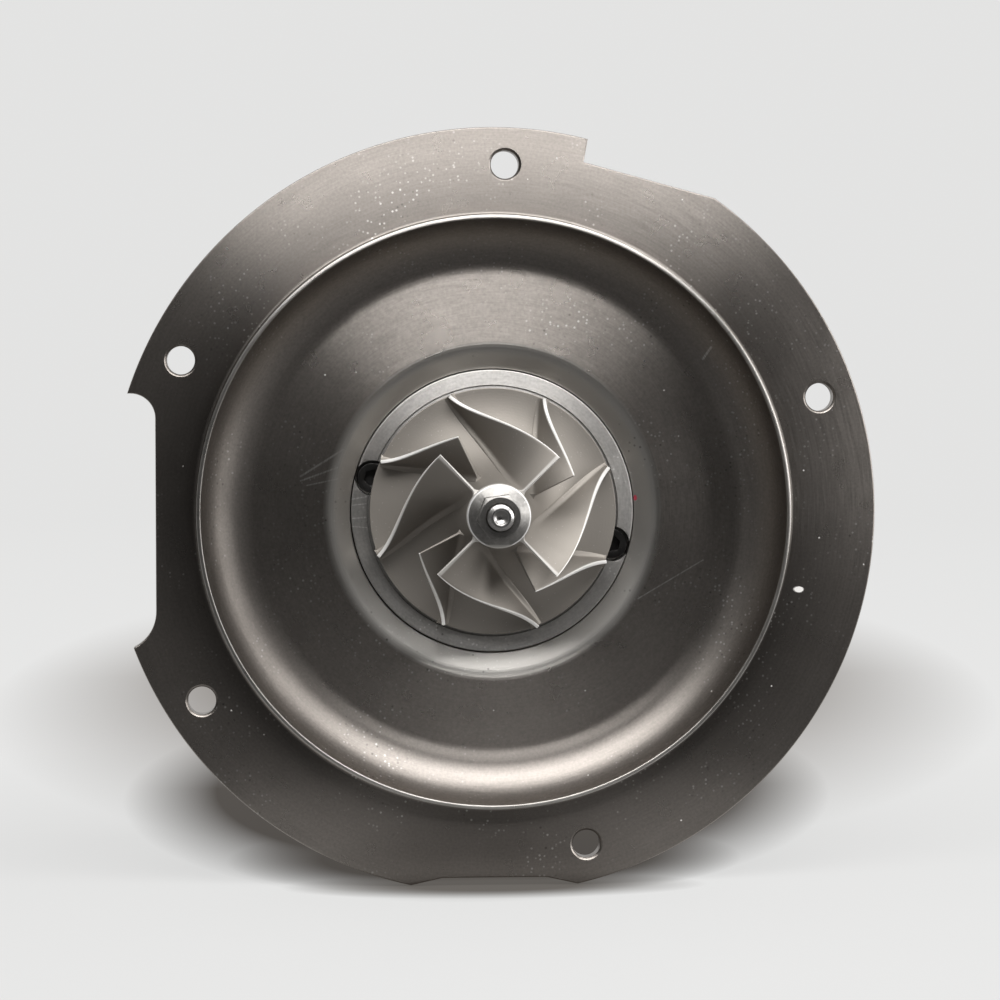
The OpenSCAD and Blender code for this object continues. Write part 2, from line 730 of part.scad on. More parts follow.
module bearing_housing() {
    color("#6d655f") stand() difference() {
        housing_body();
        drum(cup_seat_r, seat_z + over, thrust_back_z);
        drum(slinger_cavity_r, seat_z, bore_z);
        drum(bush_bore_r, seat_z, rear_face_z);
        for (top = clip_tops) drum(groove_r, top + groove_play, top - clip_t - groove_play);
        drum(hub_bore_r, rear_face_z + over, housing_end_z - over);
        oil_spaces();
        oil_feeds();
        around(bolt_angles, bolt_circle_r) drum(bolt_r + bolt_play, seat_z + over, flange_back_z - over);
        around(seal_screw_angles, seal_screw_circle_r)
            drum(screw_r + thread_play, seat_z + over, screw_seat_z - screw_len - thread_play);
        translate([0, bolt_circle_r, 0]) drum(dowel_r + pin_play, seat_z + over, seat_z - dowel_depth);
        for (side = [-1, 1]) translate([side * pin_x, 0, 0])
            drum(pin_r + pin_play, thrust_back_z + over, thrust_back_z - pin_depth);
        for (side = [-1, 1]) translate([side * pad_hole_x, -drain_h, feed_z])
            rotate([-90, 0, 0]) translate([0, 0, -over]) cylinder(r = pad_hole_r, h = pad_t + 2 * over);
    }
}

module backplate_bolts() {
    color("#8a8883") stand() around(bolt_angles, bolt_circle_r) {
        drum(bolt_r, seat_z + bolt_grip, flange_back_z);
        drum(bolt_flange_r, flange_back_z, flange_back_z - bolt_flange_t);
        hexagon(bolt_flats, flange_back_z, flange_back_z - bolt_head_h);
    }
}

module locating_dowel() {
    color("#9a9893") stand() translate([0, bolt_circle_r, 0])
        drum(dowel_r, seat_z + dowel_depth - pin_play, seat_z - dowel_depth + pin_play);
}

module thrust_bearing() {
    color("#a88b4a") stand() difference() {
        drum(cup_r, thrust_z, thrust_back_z);
        drum(neck_r + bolt_play, thrust_z + over, thrust_back_z - over);
        translate([-slot_half, -clear_of_all, thrust_back_z - over])
            cube([2 * slot_half, clear_of_all - collar_r - cup_t, thrust_t + 2 * over]);
        for (side = [-1, 1]) translate([side * pin_x, 0, 0])
            drum(pin_r + pin_play, thrust_z + over, thrust_back_z - over);
    }
}

module thrust_bearing_pins() {
    color("#9a9893") stand() for (side = [-1, 1]) translate([side * pin_x, 0, 0])
        drum(pin_r, thrust_z - pin_play, thrust_back_z - pin_depth + pin_play);
}

module oil_deflector() {
    color("#8d8a84") stand() difference() {
        drum(cup_r, seat_z, thrust_z);
        drum(cup_r - cup_t, seat_z - cup_t, thrust_z - over);
        drum(collar_r + flinger_gap, seat_z + over, thrust_z);
        translate([-slot_half, -clear_of_all, thrust_z - over])
            cube([2 * slot_half, clear_of_all - collar_r - cup_t, cup_h - cup_t + over]);
    }
}

module bearing_circlips() {
    color("#77756f") stand() for (top = clip_tops) difference() {
        drum(groove_r - groove_play, top, top - clip_t);
        drum(bush_bore_r - clip_reach, top + over, top - clip_t - over);
        translate([-clip_opening / 2, 0, top - clip_t - over])
            cube([clip_opening, clear_of_all, clip_t + 2 * over]);
    }
}

module split_ring(outer_r, z) {
    difference() {
        drum(outer_r, z + ring_w / 2, z - ring_w / 2);
        drum(outer_r - ring_t, z + ring_w, z - ring_w);
        translate([-ring_opening / 2, 0, z - ring_w]) cube([ring_opening, clear_of_all, 2 * ring_w]);
    }
}

module ring_groove(outer_r, z) {
    difference() {
        drum(outer_r + over, z + ring_groove_w / 2, z - ring_groove_w / 2);
        drum(outer_r - ring_t - 2 * groove_play, z + ring_groove_w, z - ring_groove_w);
    }
}

module compressor_seal_ring() {
    color("#4c4a47") stand() split_ring(seal_bore_r, seal_ring_z);
}

module turbine_seal_ring() {
    color("#4c4a47") stand() split_ring(hub_bore_r, hub_ring_z);
}

// Quarter turn of the shield's sheet about a centre, towards out and up, or in and down for -1
module sheet_bend(centre, out, up) {
    translate(centre) intersection() {
        difference() {
            circle(shield_bend);
            circle(shield_bend - shield_t);
        }
        translate([min(0, out * shield_bend), min(0, up * shield_bend)]) square(shield_bend);
    }
}

module heat_shield() {
    back_z = shield_z - shield_t;
    wall = shield_cup_r - shield_t;
    rim_from = wall + shield_bend;
    disc_from = hub_r + shield_clear;
    color("#7b736b") stand() rotate_extrude() {
        translate([rim_from, rear_face_z - shield_t]) square([shield_rim_r - rim_from, shield_t]);
        sheet_bend([rim_from, rear_face_z - shield_bend], -1, 1);
        translate([wall, back_z + shield_bend])
            square([shield_t, rear_face_z - back_z - 2 * shield_bend]);
        sheet_bend([shield_cup_r - shield_bend, back_z + shield_bend], 1, -1);
        translate([disc_from, back_z]) square([shield_cup_r - shield_bend - disc_from, shield_t]);
    }
}

module rotor_shaft() {
    color("#a7a5a1") stand() difference() {
        union() {
            drum(stub_r, shaft_end_z, collar_z);
            drum(journal_r, collar_z, turbine_z);
            drum(hub_r, rear_face_z + rear_cavity_l / 2, turbine_z);
        }
        difference() {
            drum(journal_r + over, clip_tops[1] - clip_t, clip_tops[2]);
            drum(waist_r, clip_tops[1], clip_tops[2] - over);
        }
        ring_groove(hub_bore_r, hub_ring_z);
        translate([0, 0, shaft_end_z - centre_d]) cylinder(r1 = 0, r2 = centre_r, h = centre_d);
    }
}

module turbine_wheel() {
    root = [
        turbine_r, turbine_exit_z, turbine_r - turbine_hub_r + root_sink,
        -turbine_arc - turbine_disc_t + root_sink
    ];
    tip = [
        turbine_r, turbine_exit_z, turbine_r - turbine_exit_r,
        -turbine_arc - turbine_disc_t + root_sink + turbine_inlet_b
    ];
    color("#857b70") stand() {
        rotate_extrude() difference() {
            translate([0, turbine_exit_z]) square([turbine_disc_r, turbine_arc + turbine_disc_t]);
            translate([turbine_disc_r, turbine_exit_z]) circle(turbine_arc);
        }
        hexagon(turbine_hex, turbine_exit_z, turbine_exit_z - turbine_hex_l);
        for (i = [0 : turbine_blades - 1]) rotate(i * 360 / turbine_blades)
            blade(root, tip, [-turbine_wrap, 0, turbine_lead], 0, [turbine_root_t, turbine_tip_t]);
    }
}

module thrust_collar() {
    color("#93918c") stand() difference() {
        union() {
            drum(neck_r, thrust_z + thrust_play, collar_z);
            drum(collar_r, collar_z + collar_t, collar_z);
        }
        drum(stub_r + push_fit, thrust_z + over, collar_z - over);
    }
}

module flinger_sleeve() {
    color("#93918c") stand() difference() {
        union() {
            drum(sleeve_r, wheel_z, thrust_z + thrust_play);
            drum(flinger_r, flinger_z, flinger_z - flinger_t);
            drum(collar_r, flinger_z - flinger_t, thrust_z + thrust_play);
        }
        drum(stub_r + push_fit, wheel_z + over, thrust_z - over);
        ring_groove(seal_bore_r, seal_ring_z);
    }
}

module compressor_wheel() {
    root = [wheel_r, hub_top_z, hub_arc + root_sink, hub_arc + root_sink];
    tip = [wheel_r, hub_top_z, wheel_r - inlet_r, hub_arc - outlet_b];
    wrap = [blade_wrap, blade_sweep, blade_lead];
    step = 360 / full_blades;
    color("#c3c2be") stand() difference() {
        union() {
            rotate_extrude() difference() {
                union() {
                    translate([0, disc_z]) square([wheel_r, hub_top_z - disc_z]);
                    translate([0, wheel_z]) square([wheel_boss_r, wheel_boss_h]);
                    translate([0, hub_top_z]) square([nose_r, nose_land]);
                }
                translate([wheel_r, hub_top_z]) circle(hub_arc);
            }
            for (i = [0 : full_blades - 1]) {
                rotate(blade_start + i * step) blade(root, tip, wrap, 0, [root_t, tip_t]);
                rotate(blade_start + (i + 0.5) * step)
                    blade(root, tip, wrap, splitter_start, [root_t, tip_t]);
            }
        }
        drum(stub_r + push_fit, nose_z + over, wheel_z - over);
    }
}

module compressor_nut() {
    cone_z = nose_z + nut_flange_t;
    color("#c9c7c2") stand() difference() {
        union() {
            hexagon(nut_flats, nose_z + nut_h, nose_z);
            drum(nut_flange_r, cone_z, nose_z);
            translate([0, 0, cone_z])
                cylinder(r1 = nut_flange_r, r2 = nut_flats / 2, h = nut_cone_h);
        }
        drum(stub_r + push_fit, nose_z + nut_h + over, nose_z - over);
        translate([-clear_of_all / 2, -clear_of_all - nut_balance, nose_z - over])
            cube([clear_of_all, clear_of_all, nut_h + 2 * over]);
    }
}

module bush(top) {
    color("#b0894c") stand() difference() {
        drum(bush_r, top, top - bush_len);
        drum(journal_r + bush_inner_play, top + over, top - bush_len - over);
        for (i = [0 : bush_holes - 1]) rotate(i * 360 / bush_holes)
            translate([0, 0, top - bush_len / 2]) rotate([0, 90, 0]) cylinder(r = bush_hole_r, h = bush_r + over);
    }
}

module compressor_side_bush() {
    bush(front_bush_z);
}

module turbine_side_bush() {
    bush(rear_bush_z);
}

compressor_backplate();
seal_plate();
seal_plate_screws();
seal_plate_oring();
bearing_housing();
backplate_bolts();
backplate_oring();
locating_dowel();
thrust_bearing();
thrust_bearing_pins();
oil_deflector();
bearing_circlips();
compressor_seal_ring();
turbine_seal_ring();
heat_shield();
rotor_shaft();
turbine_wheel();
thrust_collar();
flinger_sleeve();
compressor_wheel();
compressor_nut();
compressor_side_bush();
turbine_side_bush();
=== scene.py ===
import math

import bmesh
import bpy
import numpy as np
from mathutils import Matrix, Vector


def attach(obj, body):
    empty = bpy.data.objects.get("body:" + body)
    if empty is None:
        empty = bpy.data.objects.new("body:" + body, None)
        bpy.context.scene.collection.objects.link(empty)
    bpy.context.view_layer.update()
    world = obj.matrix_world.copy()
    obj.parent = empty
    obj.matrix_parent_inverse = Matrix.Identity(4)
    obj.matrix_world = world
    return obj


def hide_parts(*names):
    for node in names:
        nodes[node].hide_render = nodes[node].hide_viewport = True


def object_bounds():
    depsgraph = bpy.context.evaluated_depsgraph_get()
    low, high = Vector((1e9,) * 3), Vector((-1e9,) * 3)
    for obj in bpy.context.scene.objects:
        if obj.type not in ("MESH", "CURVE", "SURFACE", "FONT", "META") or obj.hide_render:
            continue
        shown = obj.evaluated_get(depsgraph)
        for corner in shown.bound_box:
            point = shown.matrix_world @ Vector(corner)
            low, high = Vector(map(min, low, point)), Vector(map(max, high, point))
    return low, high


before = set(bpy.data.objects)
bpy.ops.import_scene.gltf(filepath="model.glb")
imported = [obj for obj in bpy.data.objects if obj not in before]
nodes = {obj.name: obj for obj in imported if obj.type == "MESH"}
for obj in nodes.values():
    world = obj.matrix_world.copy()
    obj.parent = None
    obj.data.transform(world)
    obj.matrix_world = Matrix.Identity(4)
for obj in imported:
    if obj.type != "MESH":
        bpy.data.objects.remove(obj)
cadLow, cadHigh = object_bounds()
mm = 0.001
past = 1.0  # how far a cutter runs past what it cuts
hair = 0.01  # edge of a cutter that stays sharp
print("frame loaded:", len(nodes), "nodes")

# Sizes below are in millimetres: r from the shaft, z towards the nose, angles in degrees from the right.
# A point (x, y up, z to the nose) stands in the frame at (x, -z, y).


def toFrame(points):
    local = np.asarray(points, float).reshape(-1, 3) * mm
    return np.column_stack((local[:, 0], -local[:, 2], local[:, 1]))


def arc(centre, radius, start, end, steps=16):
    turns = np.radians(np.linspace(start, end, steps + 1))
    return [(centre[0] + radius * math.cos(t), centre[1] + radius * math.sin(t)) for t in turns]


# Rounds the corners of a closed outline; a corner is (r, z) or (r, z, its own radius).
def softened(corners, radius, steps=5):
    made = []
    count = len(corners)
    for i, corner in enumerate(corners):
        here = Vector(corner[:2])
        before = Vector(corners[i - 1][:2]) - here
        after = Vector(corners[(i + 1) % count][:2]) - here
        own = corner[2] if len(corner) > 2 else radius
        reach = 0.45 * min(before.length, after.length)
        half = before.angle(after) / 2 if reach > 0 else 0
        if own <= 0 or half < 0.05 or half > math.pi / 2 - 0.06:
            made.append(tuple(here))
            continue
        run = min(own / math.tan(half), reach)
        first = here + before.normalized() * run
        last = here + after.normalized() * run
        middle = here + (before.normalized() + after.normalized()).normalized() * (run / math.cos(half))
        spoke = first - middle
        swing = spoke.angle_signed(last - middle)
        for k in range(steps + 1):
            turned = spoke.copy()
            turned.rotate(Matrix.Rotation(-swing * k / steps, 2))
            made.append(tuple(middle + turned))
    return made


# Corners that stay as they are
def kept(points):
    return [(*point, 0) for point in points]


# Puts a point close to each end of a long stretch, so that smooth shading stays in the corners.
def braced(outline, near=0.06):
    made = []
    for i, start in enumerate(outline):
        a, b = Vector(start), Vector(outline[(i + 1) % len(outline)])
        made.append(tuple(a))
        length = (b - a).length
        if length > 6 * near:
            made.append(tuple(a.lerp(b, near / length)))
            made.append(tuple(a.lerp(b, 1 - near / length)))
    return made


def newPiece(name, points, faces):
    mesh = bpy.data.meshes.new(name)
    mesh.from_pydata([tuple(p) for p in toFrame(points)], [], faces)
    piece = bpy.data.objects.new(name, mesh)
    bpy.context.scene.collection.objects.link(piece)
    closeMesh(mesh)
    return piece


def closeMesh(mesh, gap=2e-7):
    work = bmesh.new()
    work.from_mesh(mesh)
    bmesh.ops.remove_doubles(work, verts=work.verts, dist=gap)
    bmesh.ops.recalc_face_normals(work, faces=work.faces)
    work.to_mesh(mesh)
    work.free()


def lathe(name, outline, sides=256):
    rings = np.array(braced(outline))
    turns = np.linspace(0, 2 * math.pi, sides, endpoint=False)
    points = np.array([(r * math.cos(t), r * math.sin(t), z) for r, z in rings for t in turns])
    faces = []
    for i in range(len(rings)):
        j = (i + 1) % len(rings)
        if rings[i][0] < 1e-6 and rings[j][0] < 1e-6:
            continue
        for k in range(sides):
            n = (k + 1) % sides
            faces.append((i * sides + k, i * sides + n, j * sides + n, j * sides + k))
    return newPiece(name, points, faces)


# A flat piece between two levels from closed loops, with rounded edges; holes run clockwise.
# A loop with a mouth has a chamfer of that size at the top, blended into its faces.
def cutSheet(name, loops, top, bottom, edge, mouths=(), steps=3, blend=0.08):
    sweep = [math.pi / 2 * k / steps for k in range(steps + 1)]
    rounding = [(edge * (1 - math.sin(a)), edge * (1 - math.cos(a))) for a in sweep]
    points, faces, caps, count = [], [], ([], []), 0
    for index, loop in enumerate(loops):
        mouth = mouths[index] if index < len(mouths) else 0
        upper = rounding
        if mouth:
            upper = [(mouth, 0), (mouth - blend, blend / 4), (blend, mouth - 1.25 * blend), (0, mouth)]
        levels = [(inset, top - drop) for inset, drop in upper]
        levels += [(inset, bottom + drop) for inset, drop in reversed(rounding)]
        flat = np.array(loop)
        ahead = np.roll(flat, -1, 0) - flat
        ahead /= np.linalg.norm(ahead, axis=1)[:, None]
        behind = np.roll(ahead, 1, 0)
        inward = np.column_stack((-ahead[:, 1] - behind[:, 1], ahead[:, 0] + behind[:, 0]))
        inward *= (2 / np.sum(inward ** 2, 1))[:, None]
        size = len(flat)
        for inset, z in levels:
            points.append(np.column_stack((flat + inward * inset, np.full(size, z))))
        for i in range(len(levels) - 1):
            for k in range(size):
                n = (k + 1) % size
                low, high = count + (i + 1) * size, count + i * size
                faces.append((high + k, high + n, low + n, low + k))
        for cap, level in zip(caps, (0, len(levels) - 1)):
            cap.append([count + level * size + k for k in range(size)])
        count += size * len(levels)
    mesh = bpy.data.meshes.new(name)
    work = bmesh.new()
    verts = [work.verts.new(p) for p in toFrame(np.vstack(points))]
    for face in faces:
        work.faces.new([verts[k] for k in face])
    for cap in caps:
        rim = []
        for loop in cap:
            for k, a in enumerate(loop):
                rim.append(work.edges.get((verts[a], verts[loop[(k + 1) % len(loop)]])))
        bmesh.ops.triangle_fill(work, use_beauty=True, edges=rim)
    bmesh.ops.recalc_face_normals(work, faces=work.faces)
    work.to_mesh(mesh)
    work.free()
    piece = bpy.data.objects.new(name, mesh)
    bpy.context.scene.collection.objects.link(piece)
    return piece


def settle(piece):
    graph = bpy.context.evaluated_depsgraph_get()
    mesh = bpy.data.meshes.new_from_object(piece.evaluated_get(graph))
    piece.modifiers.clear()
    piece.data = mesh
    return piece


def combine(piece, others, operation):
    for other in others:
        step = piece.modifiers.new(operation, "BOOLEAN")
        step.operation = operation
        step.solver = "EXACT"
        step.object = other
    settle(piece)
    for other in others:
        bpy.data.objects.remove(other)
    return piece


def join(piece, others):
    work = bmesh.new()
    work.from_mesh(piece.data)
    for other in others:
        work.from_mesh(other.data)
        bpy.data.objects.remove(other)
    work.to_mesh(piece.data)
    work.free()
    return piece


# Rounds what is still sharp, then shades smooth with flats kept flat.
def polish(piece, edge=0.0, sharp=35, segments=2):
    if edge > 0:
        step = piece.modifiers.new("edges", "BEVEL")
        step.width = edge * mm
        step.segments = segments
        step.limit_method = "ANGLE"
        step.angle_limit = math.radians(sharp)
        step.use_clamp_overlap = True
        settle(piece)
    piece.data.shade_smooth()
    piece.data.set_sharp_from_angle(angle=math.radians(sharp))
    step = piece.modifiers.new("flats", "WEIGHTED_NORMAL")
    step.keep_sharp = True
    step.weight = 60
    settle(piece)
    return piece


def drum(name, centre, radius, top, bottom, sides=64):
    piece = lathe(name, [(0, bottom), (radius, bottom), (radius, top), (0, top)], sides)
    piece.data.transform(Matrix.Translation(toFrame([(centre[0], centre[1], 0)])[0]))
    return piece


def hexBar(name, flats, top, bottom, turn=30):
    corner = flats / 2 / math.cos(math.radians(30))
    ring = [math.radians(turn + 60 * k) for k in range(6)]
    points = [(corner * math.cos(t), corner * math.sin(t), z) for z in (bottom, top) for t in ring]
    faces = [tuple(range(6)), tuple(range(6, 12))]
    faces += [(k, (k + 1) % 6, 6 + (k + 1) % 6, 6 + k) for k in range(6)]
    return newPiece(name, points, faces)


def polar(radius, angle):
    return radius * math.cos(math.radians(angle)), radius * math.sin(math.radians(angle))


# Geometry Nodes: repeats a piece round the shaft.
def makeRingTree():
    tree = bpy.data.node_groups.new("aroundShaft", "GeometryNodeTree")
    face = tree.interface
    face.new_socket(name="Geometry", in_out="INPUT", socket_type="NodeSocketGeometry")
    face.new_socket(name="Count", in_out="INPUT", socket_type="NodeSocketInt")
    face.new_socket(name="Start", in_out="INPUT", socket_type="NodeSocketFloat")
    face.new_socket(name="Finish", in_out="INPUT", socket_type="NodeSocketMaterial")
    face.new_socket(name="Geometry", in_out="OUTPUT", socket_type="NodeSocketGeometry")
    add = tree.nodes.new
    link = tree.links.new
    given, result = add("NodeGroupInput"), add("NodeGroupOutput")
    line = add("GeometryNodeMeshLine")
    link(given.outputs["Count"], line.inputs["Count"])
    line.inputs["Offset"].default_value = (0, 0, 0)
    share = add("ShaderNodeMath")
    share.operation = "DIVIDE"
    link(add("GeometryNodeInputIndex").outputs[0], share.inputs[0])
    link(given.outputs["Count"], share.inputs[1])
    turn = add("ShaderNodeMath")
    turn.operation = "MULTIPLY_ADD"
    link(share.outputs[0], turn.inputs[0])
    turn.inputs[1].default_value = -2 * math.pi
    start = add("ShaderNodeMath")
    start.operation = "MULTIPLY"
    link(given.outputs["Start"], start.inputs[0])
    start.inputs[1].default_value = -math.pi / 180
    link(start.outputs[0], turn.inputs[2])
    euler = add("ShaderNodeCombineXYZ")
    link(turn.outputs[0], euler.inputs["Y"])
    spin = add("FunctionNodeEulerToRotation")
    link(euler.outputs[0], spin.inputs[0])
    place = add("GeometryNodeInstanceOnPoints")
    link(line.outputs[0], place.inputs["Points"])
    link(given.outputs["Geometry"], place.inputs["Instance"])
    link(spin.outputs[0], place.inputs["Rotation"])
    real = add("GeometryNodeRealizeInstances")
    link(place.outputs[0], real.inputs[0])
    paint = add("GeometryNodeSetMaterial")
    link(real.outputs[0], paint.inputs["Geometry"])
    link(given.outputs["Finish"], paint.inputs["Material"])
    link(paint.outputs[0], result.inputs["Geometry"])
    return tree


ringTree = makeRingTree()


def around(piece, count, start, material):
    step = piece.modifiers.new("around", "NODES")
    step.node_group = ringTree
    values = {"Count": count, "Start": float(start), "Finish": material}
    for socket in ringTree.interface.items_tree:
        if socket.name in values:
            step[socket.identifier] = values[socket.name]
    return settle(piece)


# Shader maths: a wrapped socket that takes part in plain expressions.
class Wire:
    def __init__(self, finish, socket):
        self.finish = finish
        self.socket = socket

    def math(self, operation, first, second):
        return self.finish.node("ShaderNodeMath", {"operation": operation}, {0: first, 1: second})

    def __add__(self, other):
        return self.math("ADD", self, other)

    def __radd__(self, other):
        return self.math("ADD", other, self)

    def __sub__(self, other):
        return self.math("SUBTRACT", self, other)

    def __rsub__(self, other):
        return self.math("SUBTRACT", other, self)

    def __mul__(self, other):
        return self.math("MULTIPLY", self, other)

    def __rmul__(self, other):
        return self.math("MULTIPLY", other, self)

    def __truediv__(self, other):
        return self.math("DIVIDE", self, other)

    def __pow__(self, other):
        return self.math("POWER", self, other)

    def __gt__(self, other):
        return self.math("GREATER_THAN", self, other)

    def __lt__(self, other):
        return self.math("LESS_THAN", self, other)


class Finish:
    sockets = {"color": "Base Color", "roughness": "Roughness", "metallic": "Metallic", "normal": "Normal",
               "specular": "Specular IOR Level"}

    def __init__(self, name):
        self.material = bpy.data.materials.new(name)
        self.material.use_nodes = True
        self.tree = self.material.node_tree
        self.tree.nodes.clear()
        self.output = self.tree.nodes.new("ShaderNodeOutputMaterial")

    def feed(self, socket, value):
        if isinstance(value, Wire):
            self.tree.links.new(value.socket, socket)
        elif socket.type == "RGBA" and len(value) == 3:
            socket.default_value = (*value, 1)
        else:
            socket.default_value = value

    def node(self, kind, settings=None, sockets=None, out=0):
        made = self.tree.nodes.new(kind)
        for name, value in (settings or {}).items():
            setattr(made, name, value)
        for name, value in (sockets or {}).items():
            self.feed(made.inputs[name], value)
        return Wire(self, made.outputs[out])

    def join(self, share, first, second):
        return self.node("ShaderNodeMixShader", None, {0: share, 1: first, 2: second})

    def lobe(self, **values):
        return self.node("ShaderNodeBsdfPrincipled", None, {self.sockets[k]: v for k, v in values.items()})

    def show(self, shader):
        self.feed(self.output.inputs["Surface"], shader)
        return self.material

    def place(self):
        return self.node("ShaderNodeTexCoord", out="Object")

    def split(self, vector):
        return [self.node("ShaderNodeSeparateXYZ", None, {0: vector}, k) for k in range(3)]

    def length(self, first, second):
        return (first * first + second * second) ** 0.5

    def vector(self, x, y, z):
        return self.node("ShaderNodeCombineXYZ", None, {0: x, 1: y, 2: z})

    def vectorMath(self, operation, a, b, scale=None):
        sockets = {0: a} if b is None else {0: a, 1: b}
        if scale is not None:
            sockets["Scale"] = scale
        return self.node("ShaderNodeVectorMath", {"operation": operation}, sockets)

    def mix(self, factor, a, b):
        return self.node("ShaderNodeMix", {"data_type": "RGBA"}, {0: factor, 6: a, 7: b}, 2)

    # Noise with its middle at 0.5, pulled apart so that it fills 0 to 1
    def cloud(self, place, scale, detail=3.0, spread=1.0):
        raw = self.node("ShaderNodeTexNoise", None, {"Vector": place, "Scale": scale, "Detail": detail})
        return self.ramp(raw, 0.5 - 0.25 / spread, 0.5 + 0.25 / spread)

    def ramp(self, value, low, high):
        return self.node("ShaderNodeMapRange", {"clamp": True}, {0: value, 1: low, 2: high, 3: 0.0, 4: 1.0})

    def specks(self, place, scale, size, share):
        cell = self.node("ShaderNodeTexVoronoi", None, {"Vector": place, "Scale": scale})
        tint = Wire(self, cell.socket.node.outputs["Color"])
        pick = self.node("ShaderNodeSeparateColor", None, {0: tint}) < share
        return self.ramp(cell, size, size * 0.5) * pick

    # Thin line between two points of the front, (x, up, x, up, width) in millimetres
    def scratch(self, x, up, mark):
        fromX, fromUp, toX, toUp, width = (value * mm for value in mark[:5])
        runX, runUp = toX - fromX, toUp - fromUp
        share = self.ramp((x - fromX) * runX + (up - fromUp) * runUp, 0.0, runX ** 2 + runUp ** 2)
        offX = x - fromX - share * runX
        offUp = up - fromUp - share * runUp
        return self.ramp(self.length(offX, offUp), width, width * 0.3)

    # Spot with a ragged edge
    def dab(self, x, up, look, ragged):
        offX = (x - look["spot"][0] * mm) / (look["half"][0] * mm)
        offUp = (up - look["spot"][1] * mm) / (look["half"][1] * mm)
        return self.ramp(self.length(offX, offUp) + ragged * look["ragged"], 1.0, 0.8)


# What all turned metals share: noise scales per metre, specks as (scale, size, share of cells), and how far
# each covers the tone, roughens the metal or dulls it.
turnedMarksAndShade = {"slope": 0.83, "grain": 1900.0, "blotch": 38.0, "grime": 140.0, "crowd": 70.0,
              "crowdFrom": (0.45, 0.85), "fleck": (1250.0, 0.34, 0.30), "pit": (1000.0, 0.30, 0.16),
              "pitShift": (0.37, 0.11, 0.23), "dust": (330.0, 0.07, 0.16), "dustTone": (0.75, 0.73, 0.70),
              "grainCover": 0.22, "rimShadeTone": 0.3, "fleckCover": 0.7, "pitTone": 0.25, "pitCover": 0.6,
              "dustCover": 0.7, "edgeBare": 0.6, "crestRise": 0.25, "crestLeast": 0.6, "scratchLeast": 0.6,
              "facing": (0.955, 0.995), "sideRough": 0.08, "grimeRough": 0.08, "bareRough": 0.25,
              "bareDull": 0.6}


def scaled(tone, share):
    return tuple(share * c for c in tone)


